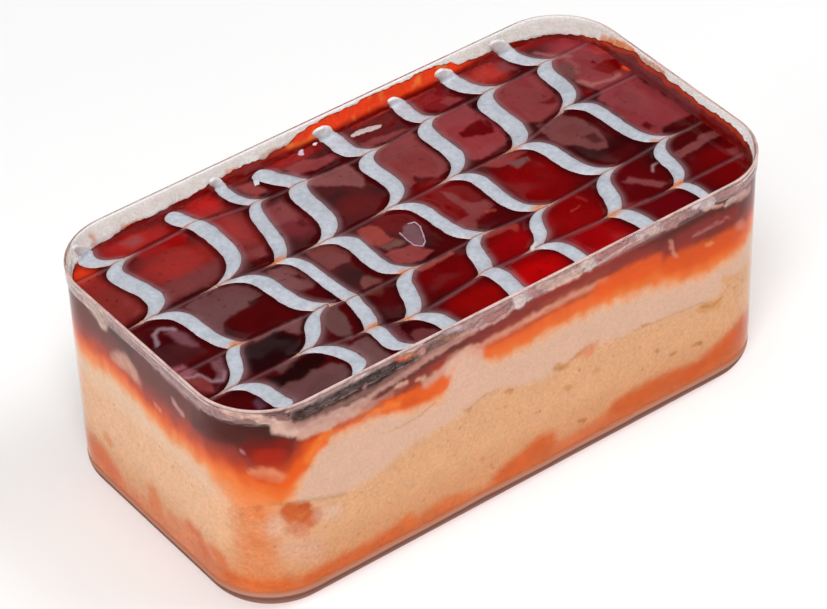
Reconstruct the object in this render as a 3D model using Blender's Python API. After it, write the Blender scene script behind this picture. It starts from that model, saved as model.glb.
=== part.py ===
"""Caramel tres leches cake in its clear rectangular dessert box.

The box stands on Z = 0, centred over the origin. +X runs along its length and +Y across it, and
the long side at -Y is the one that is looked at. All sizes are in metres.
"""

import math

import bmesh
import bpy
from mathutils import Vector, noise

MM = 0.001

# The box
BOX_LENGTH = 125.0 * MM  # over the lip
BOX_WIDTH = 65.6 * MM
BOX_HEIGHT = 49.0 * MM
CORNER_RADIUS = 14.0 * MM
CORNER_SEGMENTS = 9
WALL = 1.0 * MM
FLOOR = 2.2 * MM  # thickness of the base
BASE_FILLET = 4.0 * MM  # outside, between wall and base
INNER_FILLET = 3.0 * MM
FILLET_SEGMENTS = 4
DRAFT = 0.5 * MM  # how much further in each wall stands at the base than at the rim
LIP_OUT = 0.25 * MM  # the lip stands out this far from the wall
LIP_HEIGHT = 3.0 * MM
LIP_ROUND = 0.2 * MM

# The cake inside it
GAP = 0.3 * MM  # clearance between neighbouring pieces
SURFACE_LEVEL = 44.0 * MM  # top of the caramel, 5 mm under the rim
SURFACE_RIPPLE = 0.25 * MM
CARAMEL_FLOOR = 34.5 * MM  # mean height of each layer's underside
SPONGE_TOP = 25.5 * MM
SOAK_TOP = 7.2 * MM
LAYER_RIPPLE = 0.9 * MM
RIPPLE_LENGTH = 11.0 * MM
CELL = 4.8 * MM  # grid of the surfaces between layers
REACH_OVER = 6.0 * MM  # how far those surfaces run past the box

# Swells and dips of the layers: (x, y, rise, reach)
CARAMEL_SWELLS = (
    (-57 * MM, -28 * MM, -4.5 * MM, 7 * MM),
    (-40 * MM, -34 * MM, 3.2 * MM, 6 * MM),
    (-12 * MM, -34 * MM, 5.0 * MM, 5 * MM),
    (48 * MM, -34 * MM, -3.6 * MM, 13 * MM),
    (-63 * MM, 26 * MM, -2.6 * MM, 10 * MM),
)
SPONGE_SWELLS = (
    (-46 * MM, -34 * MM, -3.0 * MM, 8 * MM),
    (-9 * MM, -34 * MM, 3.0 * MM, 7 * MM),
    (43 * MM, -34 * MM, -2.6 * MM, 6 * MM),
    (-63 * MM, 6 * MM, 2.0 * MM, 14 * MM),
)
SOAK_SWELLS = (
    (52 * MM, -30 * MM, 5.2 * MM, 9 * MM),
    (26 * MM, -34 * MM, 2.4 * MM, 7 * MM),
    (1 * MM, -34 * MM, 3.6 * MM, 6 * MM),
    (-18 * MM, -34 * MM, -2.2 * MM, 8 * MM),
    (-63 * MM, 19 * MM, 3.0 * MM, 6 * MM),
    (-63 * MM, -12 * MM, 3.2 * MM, 8 * MM),
)

# White feathered lines on the caramel. Each runs across the box, and four drags along the box
# have pulled it to and fro into hooks.
LINES = (  # place along X, far end, pull of each drag along X
    (-50.5 * MM, 31.0 * MM, (5.0 * MM, -6.5 * MM, 6.5 * MM, -6.5 * MM)),
    (-31.8 * MM, 30.5 * MM, (0.6 * MM, -8.0 * MM, 7.0 * MM, -7.5 * MM)),
    (-22.8 * MM, 31.0 * MM, (4.6 * MM, -5.0 * MM, 3.4 * MM, -5.0 * MM)),
    (-12.0 * MM, 29.8 * MM, (6.5 * MM, -7.8 * MM, 8.0 * MM, -7.0 * MM)),
    (3.8 * MM, 31.0 * MM, (7.0 * MM, -8.0 * MM, 8.0 * MM, -5.5 * MM)),
    (18.0 * MM, 30.8 * MM, (7.0 * MM, -7.5 * MM, 7.0 * MM, -4.4 * MM)),
    (33.0 * MM, 31.0 * MM, (6.0 * MM, -7.5 * MM, 8.5 * MM, -6.8 * MM)),
    (47.5 * MM, 31.0 * MM, (6.0 * MM, -8.0 * MM, 9.0 * MM, -5.4 * MM)),
)
DRAGS = (  # Y at the box's middle, slope along X
    (24.1 * MM, -0.02),
    (7.4 * MM, 0.0),
    (-9.5 * MM, -0.025),
    (-19.5 * MM, -0.05),
)
LINE_NEAR_END = -31.0 * MM
LINE_WIDTH = 3.6 * MM
LINE_RISE = 0.55 * MM  # the crest's height over the caramel
LINE_EDGE_RISE = 0.15 * MM
LINE_DEPTH = 0.9 * MM  # how far a line is sunk in
END_TAPER = 1.6 * MM
HOOK_SHARE = 0.6  # of a pull; it fades fast, on the far side fastest, and the rest slowly
HOOK_REACH_FAR = 0.9 * MM
HOOK_REACH_NEAR = 1.5 * MM
SLOW_REACH = 4.5 * MM
DRAG_STEPS = (0.45, 1.2, 2.6, 4.8)  # stations on either side of a drag, in mm
LEAST_STEP = 0.4 * MM

# Colours: (red, green, blue, alpha), roughness
CLEAR_PLASTIC = (0.93, 0.95, 0.96, 0.25), 0.05
CARAMEL = (0.16, 0.012, 0.005, 1.0), 0.12
CREAM = (0.80, 0.55, 0.40, 1.0), 0.5
SPONGE = (0.76, 0.45, 0.21, 1.0), 0.7
SOAKED_CAKE = (0.68, 0.19, 0.035, 1.0), 0.35


def clear_scene():
    for obj in list(bpy.data.objects):
        bpy.data.objects.remove(obj)


def collection(name):
    made = bpy.data.collections.new(name)
    bpy.context.scene.collection.children.link(made)
    return made


def material(name, look):
    colour, roughness = look
    made = bpy.data.materials.new(name)
    made.use_nodes = True
    made.diffuse_color = colour
    shader = made.node_tree.nodes["Principled BSDF"]
    shader.inputs["Base Color"].default_value = colour[:3] + (1.0,)
    shader.inputs["Roughness"].default_value = roughness
    shader.inputs["Alpha"].default_value = colour[3]
    return made


def object_from(bm, name, home, look=None):
    """The finished bmesh as an object in the collection home."""
    bmesh.ops.recalc_face_normals(bm, faces=bm.faces)
    mesh = bpy.data.meshes.new(name)
    bm.to_mesh(mesh)
    bm.free()
    obj = bpy.data.objects.new(name, mesh)
    home.objects.link(obj)
    if look:
        mesh.materials.append(look)
        mesh.shade_smooth()
        mesh.set_sharp_from_angle(angle=math.radians(35))
    return obj


def boolean(obj, operation, other):
    """Adds a Boolean modifier to obj, with another object or with a whole collection."""
    modifier = obj.modifiers.new(f"{operation.lower()} {other.name}", "BOOLEAN")
    modifier.operation = operation
    modifier.solver = "EXACT"
    if isinstance(other, bpy.types.Collection):
        modifier.operand_type = "COLLECTION"
        modifier.collection = other
    else:
        modifier.object = other
    return modifier


def apply_modifiers(obj):
    graph = bpy.context.evaluated_depsgraph_get()
    mesh = bpy.data.meshes.new_from_object(obj.evaluated_get(graph))
    obj.modifiers.clear()
    obj.data = mesh


def hide(obj):
    """Marks a cutter, which isn't part of the object."""
    obj.hide_render = True
    obj.display_type = "WIRE"
    return obj


def upright(edge):
    a, b = edge.verts
    return abs(a.co.z - b.co.z) > 1e-6


def rounded_block(inset, low, high, fillet):
    """A bmesh block with the box's outline, inset by so much, from height low to high.

    Its upright corners are rounded, its bottom edge has a fillet, and it narrows downwards.
    """
    bm = bmesh.new()
    bmesh.ops.create_cube(bm, size=1.0)
    size = Vector((BOX_LENGTH - 2 * inset, BOX_WIDTH - 2 * inset, high - low))
    bmesh.ops.scale(bm, vec=size, verts=bm.verts)
    bmesh.ops.translate(bm, vec=(0, 0, (low + high) / 2), verts=bm.verts)
    corners = [e for e in bm.edges if upright(e)]
    bmesh.ops.bevel(
        bm,
        geom=corners,
        offset=CORNER_RADIUS - inset,
        offset_type="OFFSET",
        segments=CORNER_SEGMENTS,
        profile=0.5,
        affect="EDGES",
    )
    if fillet:
        bottom = [e for e in bm.edges if max(v.co.z for v in e.verts) < low + 1e-6]
        bmesh.ops.bevel(
            bm,
            geom=bottom,
            offset=fillet,
            offset_type="OFFSET",
            segments=FILLET_SEGMENTS,
            profile=0.5,
            affect="EDGES",
        )
    for v in bm.verts:
        narrower = DRAFT * (1 - v.co.z / BOX_HEIGHT)
        v.co.x *= 1 - 2 * narrower / BOX_LENGTH
        v.co.y *= 1 - 2 * narrower / BOX_WIDTH
    return bm


def lip_block():
    """The lip around the rim: a low band that stands out from the wall."""
    low = BOX_HEIGHT - LIP_HEIGHT
    bm = rounded_block(0, low, BOX_HEIGHT, 0)
    edges = [e for e in bm.edges if not upright(e)]
    bmesh.ops.bevel(
        bm,
        geom=edges,
        offset=LIP_ROUND,
        offset_type="OFFSET",
        segments=2,
        profile=0.5,
        affect="EDGES",
    )
    return bm


def make_box(home, cutters, look):
    outside = rounded_block(LIP_OUT, 0, BOX_HEIGHT - LIP_ROUND, BASE_FILLET)
    hollow = rounded_block(LIP_OUT + WALL, FLOOR, BOX_HEIGHT + WALL, INNER_FILLET)
    box = object_from(outside, "clear_box", home, look)
    lip = hide(object_from(lip_block(), "rim_lip", cutters))
    inside = hide(object_from(hollow, "inside", cutters))
    boolean(box, "UNION", lip)
    boolean(box, "DIFFERENCE", inside)
    return box


def ripple(x, y, seed):
    """Smooth unevenness between about -1 and 1, different for each seed."""
    point = Vector((x / RIPPLE_LENGTH, y / RIPPLE_LENGTH, 7.3 * seed))
    return noise.noise(point) + 0.5 * noise.noise(2.1 * point)


def swell(x, y, swells):
    total = 0.0
    for at_x, at_y, rise, reach in swells:
        distance_squared = (x - at_x) ** 2 + (y - at_y) ** 2
        total += rise * math.exp(-distance_squared / (2 * reach**2))
    return total


def surface_height(x, y):
    return SURFACE_LEVEL + SURFACE_RIPPLE * ripple(x, y, 1)


def caramel_floor(x, y):
    return CARAMEL_FLOOR + LAYER_RIPPLE * ripple(x, y, 2) + swell(x, y, CARAMEL_SWELLS)


def sponge_top(x, y):
    return SPONGE_TOP + LAYER_RIPPLE * ripple(x, y, 3) + swell(x, y, SPONGE_SWELLS)


def soak_top(x, y):
    return SOAK_TOP + LAYER_RIPPLE * ripple(x, y, 4) + swell(x, y, SOAK_SWELLS)


def cutter(name, cutters, height, offset, far_level):
    """A block from the surface height(x, y) + offset to the level far_level, to cut a layer."""
    bm = bmesh.new()
    half_length = BOX_LENGTH / 2 + REACH_OVER
    half_width = BOX_WIDTH / 2 + REACH_OVER
    bmesh.ops.create_grid(
        bm,
        x_segments=round(2 * half_length / CELL),
        y_segments=round(2 * half_width / CELL),
        size=1.0,
    )
    for v in bm.verts:
        x, y = v.co.x * half_length, v.co.y * half_width
        v.co = (x, y, height(x, y) + offset)
    # The same diagonals in both cutters of a boundary keep its two layers apart.
    bmesh.ops.triangulate(bm, faces=bm.faces[:], quad_method="FIXED")
    raised = bmesh.ops.extrude_face_region(bm, geom=bm.faces[:])["geom"]
    for v in (g for g in raised if isinstance(g, bmesh.types.BMVert)):
        v.co.z = far_level
    return hide(object_from(bm, name, cutters))


def make_layer(name, home, cutters, look, floor, top):
    """One layer of the cake, as wide as the box's inside, between the heights floor and top."""
    block = rounded_block(LIP_OUT + WALL + GAP, FLOOR + GAP, BOX_HEIGHT, INNER_FILLET - GAP)
    layer = object_from(block, name, home, look)
    over = 2 * BOX_HEIGHT
    if floor:
        below = cutter(f"under_{name}", cutters, floor, GAP / 2, -over)
        boolean(layer, "DIFFERENCE", below)
    above = cutter(f"over_{name}", cutters, top, -GAP / 2, over)
    boolean(layer, "DIFFERENCE", above)
    return layer


def drag_places(x):
    """Where the four drags cross a line that stands at x."""
    return [at_y + slope * x for at_y, slope in DRAGS]


def pull(x, y, pulls):
    """How far the drags move the point (x, y) of a line along X."""
    total = 0.0
    for at_y, reach in zip(drag_places(x), pulls):
        away = abs(y - at_y)
        fade = HOOK_REACH_FAR if y > at_y else HOOK_REACH_NEAR
        hook = math.exp(-away / fade)
        slow = math.exp(-away / SLOW_REACH)
        total += reach * (HOOK_SHARE * hook + (1 - HOOK_SHARE) * slow)
    return total


def stations(x, near, far):
    """Places along the line at x, close together around each drag."""
    steps = [0.0] + [s * MM for s in DRAG_STEPS] + [-s * MM for s in DRAG_STEPS]
    drags = drag_places(x)
    fixed = drags + [near, near + END_TAPER, far - END_TAPER, far]
    places = sorted({at_y + s for at_y in drags for s in steps} | set(fixed))
    kept = [near]
    for y in places:
        if kept[-1] + LEAST_STEP < y < far - LEAST_STEP or y == far:
            kept.append(y)
    return kept


def line_width(y, near, far):
    """A line's width at y, which narrows to a round end."""
    to_end = min(y - near, far - y)
    share = min(1.0, 0.35 + 0.65 * to_end / END_TAPER)
    return LINE_WIDTH * math.sqrt(share)


def make_line(number, home):
    """A feathered line: a low crested strip whose stations the drags have pulled sideways."""
    place, far, pulls = LINES[number]
    near = LINE_NEAR_END
    ys = stations(place, near, far)
    bm = bmesh.new()
    bmesh.ops.create_grid(bm, x_segments=2, y_segments=len(ys) - 1, size=1.0)
    for v in bm.verts:
        across = v.co.x
        y = ys[round((v.co.y + 1) / 2 * (len(ys) - 1))]
        x = place + pull(place, y, pulls) + across * line_width(y, near, far) / 2
        rise = LINE_EDGE_RISE + (LINE_RISE - LINE_EDGE_RISE) * (1 - across**2)
        v.co = (x, y, SURFACE_LEVEL + rise)
    sunk = bmesh.ops.extrude_face_region(bm, geom=bm.faces[:])["geom"]
    for v in (g for g in sunk if isinstance(g, bmesh.types.BMVert)):
        v.co.z = SURFACE_LEVEL - LINE_DEPTH
    return object_from(bm, f"line_{number + 1}", home)


def make_caramel(home, cutters, look):
    """The caramel topping with the feathered lines fused to it."""
    caramel = make_layer("caramel", home, cutters, look, caramel_floor, surface_height)
    lines = collection("feathered_lines")
    for number in range(len(LINES)):
        make_line(number, lines)
    boolean(caramel, "UNION", lines)
    apply_modifiers(caramel)
    for line in list(lines.objects):
        bpy.data.objects.remove(line)
    bpy.data.collections.remove(lines)
    return caramel


def main():
    clear_scene()
    cake = collection("tres_leches_cake")
    cutters = collection("cutters")
    make_box(cake, cutters, material("clear plastic", CLEAR_PLASTIC))
    soaked = material("soaked cake", SOAKED_CAKE)
    make_layer("soaked_base", cake, cutters, soaked, None, soak_top)
    sponge = material("sponge", SPONGE)
    make_layer("sponge", cake, cutters, sponge, soak_top, sponge_top)
    cream = material("cream", CREAM)
    make_layer("cream", cake, cutters, cream, sponge_top, caramel_floor)
    make_caramel(cake, cutters, material("caramel", CARAMEL))


main()
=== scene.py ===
"""The looks of the caramel tres leches cake in its clear box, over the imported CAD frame.

A place on the box's walls is given by t and z. t is the way along the outline from the middle of
the long wall that is looked at, growing towards +X, and z is the height. Sizes are in metres, and
in mm where a comment says so.
"""

import math
from collections import namedtuple

import bmesh
import bpy
import numpy as np
from mathutils import Matrix, Vector, noise


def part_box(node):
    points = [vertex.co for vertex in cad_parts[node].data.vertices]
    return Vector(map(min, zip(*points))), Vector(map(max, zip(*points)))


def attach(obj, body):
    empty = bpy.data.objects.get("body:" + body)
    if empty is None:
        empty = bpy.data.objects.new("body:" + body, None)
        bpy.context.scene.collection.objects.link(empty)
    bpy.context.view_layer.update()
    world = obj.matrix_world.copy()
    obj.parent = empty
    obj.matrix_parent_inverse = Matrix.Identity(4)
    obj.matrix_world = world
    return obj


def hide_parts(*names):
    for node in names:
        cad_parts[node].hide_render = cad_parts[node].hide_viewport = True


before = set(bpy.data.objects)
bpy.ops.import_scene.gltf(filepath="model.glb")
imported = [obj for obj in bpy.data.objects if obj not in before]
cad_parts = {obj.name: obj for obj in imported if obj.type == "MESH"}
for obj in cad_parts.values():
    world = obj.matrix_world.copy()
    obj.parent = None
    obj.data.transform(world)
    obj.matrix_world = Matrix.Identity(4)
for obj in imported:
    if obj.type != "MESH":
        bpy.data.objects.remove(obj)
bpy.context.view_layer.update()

MM = 0.001

# The box, as in the CAD model
LOW, HIGH = (np.array(corner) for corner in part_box("clear_box"))
BOX_LENGTH, BOX_WIDTH, BOX_HEIGHT = HIGH - LOW
CORNER_RADIUS = 14.0 * MM
WALL = 1.0 * MM
FLOOR = 2.2 * MM
BASE_FILLET = 4.0 * MM
INNER_FILLET = 3.0 * MM
DRAFT = 0.5 * MM
LIP_OUT = 0.25 * MM
LIP_HEIGHT = 3.0 * MM
LIP_STEP = 0.15 * MM
RIM_ROUND = 0.2 * MM
INNER_WALL = LIP_OUT + WALL  # inset of the inner wall from the overall outline
RIM_INSET = 0.42 * MM  # the inner wall slopes out to this at the rim
RIM_SLOPE_FOOT = 45.5 * MM
BOX_COLUMNS = 360
ARC_X = BOX_LENGTH / 2 - CORNER_RADIUS  # the corner arcs' centres
ARC_Y = BOX_WIDTH / 2 - CORNER_RADIUS
ARC = CORNER_RADIUS * math.pi / 2
FAR_ARC = ARC_X + ARC + 2 * ARC_Y  # the way at which the far corner starts
HALF_WAY = 2 * ARC_X + 2 * ARC_Y + 2 * ARC  # half of the outline's length

# The cake, as in the CAD model. Its layers are named from the top down.
LAYERS = ("caramel", "cream", "sponge", "soaked_base")
INTO_WALL = 0.1 * MM  # the cake reaches this far into the wall, so that no air gap shows
FILL_INSET = INNER_WALL - INTO_WALL
SURFACE_LEVEL = 44.0 * MM
UNDERSIDES = (34.5 * MM, 25.5 * MM, 7.2 * MM, FLOOR - INTO_WALL)  # in the middle of each layer
LAYER_ROWS = (26, 22, 44, 12)
FILLET_ROWS = 11
SURFACE_COLUMNS = 360
SIDE_ROWS = round(2 * ARC_Y / (0.34 * MM)) + 1
CORNER_STEPS = 44

# The surface of the caramel
SWELL_RISE = 0.16 * MM
SWELL_LENGTH = 17 * MM
WRINKLE_RISE = 0.004 * MM
WRINKLE_LENGTH = 2.6 * MM
MENISCUS_RISE = 0.35 * MM
MENISCUS_REACH = 0.6 * MM
LINE_MENISCUS = 0.14 * MM
LINE_MENISCUS_REACH = 0.7 * MM
FURROW_DEPTH = 0.08 * MM
FURROW_REACH = 0.45  # mm

# What clings to the inner wall
CLING_THICKNESS = 0.45 * MM
CLING_ROWS = 14
FILM_TOP = 48.6 * MM
FILM_ROWS = 24
FILM_WAYS = 1100
FILM_THICKNESS = 0.14 * MM
FILM_IN_WALL = 0.04 * MM
CLEAR_RIM = 48.0 * MM  # on the near side the haze ends here

# --- The feathered lines, in mm ---

Line = namedtuple("Line", "stretches drags far near far_curl near_curl climb")

# The feathered lines, in mm. A line's five stretches are each given by the X of its far and near
# ends and its width. Then come the four drags that cut the line, as their Y and the X to which
# they pull it, the line's far and near ends, how far these curl along X, and how far the line
# climbs the far wall.
LINES = tuple(Line(*values) for values in (
    (((-54.5, -60, 3.5), (-54, -47.5, 4), (-49, -49, 3), (-49, -49, 3), (-49.5, -50, 3.5)),
     ((25, -49), (8, -54.5), (-8, -46.5), (-17, -54.5)), 30.5, -27.5, 0, 1.5, 2.5),
    (((-34.5, -35, 4), (-31.5, -31.5, 3.5), (-32, -32, 3.5), (-33, -31.5, 3.5), (-34, -30.5, 3)),
     ((26, -32.5), (8, -38.5), (-9, -28), (-17, -38)), 31, -28.5, 0, -5.5, 0),
    (((-22.5, -23.5, 2.5), (-21.5, -24, 3), (-23.5, -23.5, 2.5), (-23, -23, 3), (-23.5, -26.5, 3)),
     ((23.5, -19.5), (6.5, -26.5), (-10.5, -22.5), (-19.5, -25)), 31.5, -28.5, 0, 5.5, 2.5),
    (((-15.5, -10, 4.5), (-12.5, -11.5, 4), (-12, -14.5, 3.5), (-13, -14, 3.5), (-14, -13, 3.5)),
     ((23, -10), (6, -17), (-10.5, -9.5), (-21.5, -17.5)), 31, -29.5, 1.5, -0.5, 0),
    (((4, -0.5, 4), (2, 5.5, 3.5), (3.5, 3, 3), (2.5, 3, 3.5), (3, 1.5, 3.5)),
     ((22.5, 6.5), (6.5, -1.5), (-10.5, 6.5), (-19.5, 1)), 31, -31, -1.5, 0, 3),
    (((19.5, 16.5, 3.5), (17, 19.5, 3.5), (17.5, 15.5, 3), (16, 17.5, 3), (17, 16.5, 3)),
     ((23.5, 21), (6.5, 13), (-11.5, 21), (-20, 12.5)), 31, -31, -0.5, 0.5, 2),
    (((31.5, 31.5, 4), (31.5, 33, 4), (33, 32.5, 3.5), (33.5, 33, 3.5), (32, 33, 3.5)),
     ((23.5, 36), (6, 28.5), (-10.5, 37.5), (-21, 30)), 31, -31, 0, 0, 3),
    (((45.5, 45.5, 3.5), (47, 48.5, 3.5), (48, 47.5, 3), (47.5, 48.5, 3), (46.5, 46.5, 2)),
     ((24, 50), (10, 43.5), (-9.5, 52), (-22, 44.5)), 31, -31, 0, -1, 4),
))  # fmt: skip
LINE_SPREAD = 0.15  # the icing spreads this far beyond its measured half width
LINE_RISE = 0.5
LINE_SUNK = 0.35
LINE_ON_WALL = 0.1  # how deep the line lies in the wall that it climbs
FAR_REACH = 2.5  # how fast a drag's pull fades on its far side, and on its near side
NEAR_REACH = 1.6
CURL_REACH = 1.7
END_TAPER = 1.7
CLIMB_LEAN = -0.65  # how a line that climbs the wall leans along X
BEND = 1.0  # radius with which it turns up the wall
CUT_REACH = 0.14  # how far a drag's cut, its notch and its stain reach along the line
NOTCH_REACH = 0.2
STAIN_REACH = 1.1
HALO_REACH = 0.75  # how far the painted reflection and shadow beside a line reach
LINE_STEP = 0.25  # between a line's cross-sections, and between those near a drag
DRAG_STEP = 0.07
DRAG_ZONE = 1.6
ACROSS = 17  # points across a line
TRAIL_POINTS = 20
BUBBLE_POINTS = 60
# Where the drags left the icing orange: (x, y), reach
ORANGE_TIPS = (
    (-27, 6.8, 2.2), (-46.4, -7.8, 1.4), (-11.8, -10.5, 1.8), (-24.2, -19.4, 1.6), (20, -11, 1.6),
    (-33, 7.6, 1), (-18.8, -21.8, 1.5), (29.2, -21.4, 2.2), (44.6, -21.9, 2.6), (27, 5.6, 1.4),
    (49.4, -9.2, 1),
)  # fmt: skip
# Small pieces of icing beside the lines: path, half width, colour
DABS = (
    (((6.2, 28.8), (8.4, 28.9), (10.6, 28.4), (12.8, 27.8)), 0.75, "#b8a8a6"),
    (((-4.6, 30), (-3.9, 31), (-2.8, 32)), 0.6, "#c4aebc"),
    (((-16.6, 28.6), (-15.6, 28.2)), 0.9, "#c0c4cc"),
    (((-1.2, 32), (0.6, 31.9)), 1, "#c6ccd6"),
    (((3.6, 31.9), (4.9, 31.6)), 0.9, "#c6ccd6"),
    (((13.4, -18.9), (12.2, -19.4), (11.2, -20.1)), 0.6, "#c8bcba"),
)
BUBBLE = (
    (-4.3, -0.6), (-4.5, -3), (-4.4, -5.2), (-3.4, -6.4), (-2.2, -5.6), (-1.2, -3.6),
    (-0.2, -1.4), (-0.2, 0.2), (-1.6, 0.6),
)  # fmt: skip

# --- What shows on the wall, in mm ---

# The layers' edges along the wall, as seen from outside: (t, z)
GLAZE_EDGE = (
    (-178, 41), (-140, 41), (-112, 40.2), (-106, 39.6), (-100, 40.4), (-95, 39.2), (-88, 38.6),
    (-82, 38.6), (-76, 39.2), (-70, 39.4), (-64, 39), (-58, 37.4), (-53, 37.2), (-50.5, 40.5),
    (-46, 42), (-38, 41.6), (-30, 41), (-22, 41.2), (-16, 42.4), (-10, 41.6), (-4, 41.4),
    (8, 41.6), (20, 41.6), (27, 41.6), (31, 41.4), (34, 39.8), (38, 38.6), (42, 38), (47, 37.4),
    (51, 38), (56, 39), (80, 40.5), (120, 41),
)  # fmt: skip
ORANGE_EDGE = (
    (-178, 34.5), (-112, 31.6), (-106, 31.8), (-100, 33.6), (-94, 32.8), (-88, 31.4),
    (-80, 30.6), (-74, 31.4), (-70, 31.2), (-66, 29), (-60, 25.8), (-54, 26), (-50.5, 30),
    (-47.5, 34.6), (-44.5, 36.8), (-40, 37.6), (-35, 37.2), (-30, 36), (-25, 34.2), (-21, 33),
    (-18, 34), (-15.8, 37.5), (-14, 40.2), (-11, 40.4), (-9.4, 37.8), (-7.5, 35.8), (-4, 35.2),
    (0, 35.2), (8, 35.8), (18, 35.4), (26, 34.4), (32, 33), (36, 31.6), (40, 30.8),
    (46, 30.4), (52, 31), (58, 32), (80, 34), (120, 34.5),
)  # fmt: skip
SPONGE_EDGE = (
    (-178, 26), (-112, 27), (-90, 26.5), (-75, 27), (-66, 25.5), (-57, 26.6), (-49, 25),
    (-41, 22.8), (-36, 23), (-30, 24.4), (-26, 26), (-20, 26.4), (-15, 26.8), (-9, 29),
    (-5, 28.2), (-1, 26.4), (6, 25.4), (9, 26.2), (15, 27.6), (20, 26.2), (26, 25.6),
    (34, 24.6), (42, 23.6), (46, 22.8), (49, 26), (56, 26.5), (80, 26), (130, 26),
)  # fmt: skip
SOAK_EDGE = (
    (-178, 7), (-112, 11.5), (-106, 12.4), (-102, 8), (-93, 7.6), (-89.5, 12.4), (-86.5, 8.2),
    (-80, 8.8), (-76, 12), (-71, 10), (-68, 10.8), (-64, 8), (-58, 8.6), (-48, 8.6),
    (-36, 8), (-28, 9.2), (-24, 8), (-18, 8.9), (-13, 6.6), (-9, 6.4), (-5, 8.6), (1, 11),
    (5.5, 11.2), (7.5, 7.6), (12, 7), (18, 8), (23, 9.8), (30, 10.4), (38, 9.6),
    (41, 8.6), (46, 10.6), (51, 12.6), (57, 13.4), (80, 9), (130, 7.5),
)  # fmt: skip
# How high the caramel clings to the inside of the wall
CLING_EDGE = (
    (-178, 48), (-175, 47.6), (-172, 46.4), (-165, 46), (-160, 46.5), (-154, 46),
    (-150, 45.5), (-140, 45), (-137, 45.6), (-134, 44.9), (-131, 44.2), (-124, 44.2),
    (-118, 45.2), (-112, 45.4), (-106, 45), (-98, 44.8), (-90, 45), (-80, 44.6),
    (-70, 44.8), (-62, 45.2), (-50, 44.6), (-40, 44.4), (-20, 44.8), (-4, 45), (20, 45),
    (40, 45.6), (55, 45.8), (66, 46.6), (74, 47.4), (80, 47.1), (88, 47.4), (92, 47.7),
    (96, 47.3), (101, 47.9), (106, 46.8), (112, 45.6), (118, 45.2), (128, 45), (131, 45.8),
    (136, 46), (144, 46.1), (146, 47.6), (150, 48.2), (160, 48.3), (175, 48.2),
)  # fmt: skip
SEEN_DROP = 0.8  # the wall bends the view, so that the cake behind it looks higher
EDGE_STEP = 0.25
EDGE_SMOOTHING = 0.7
EDGE_REACH = 12  # steps
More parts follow.
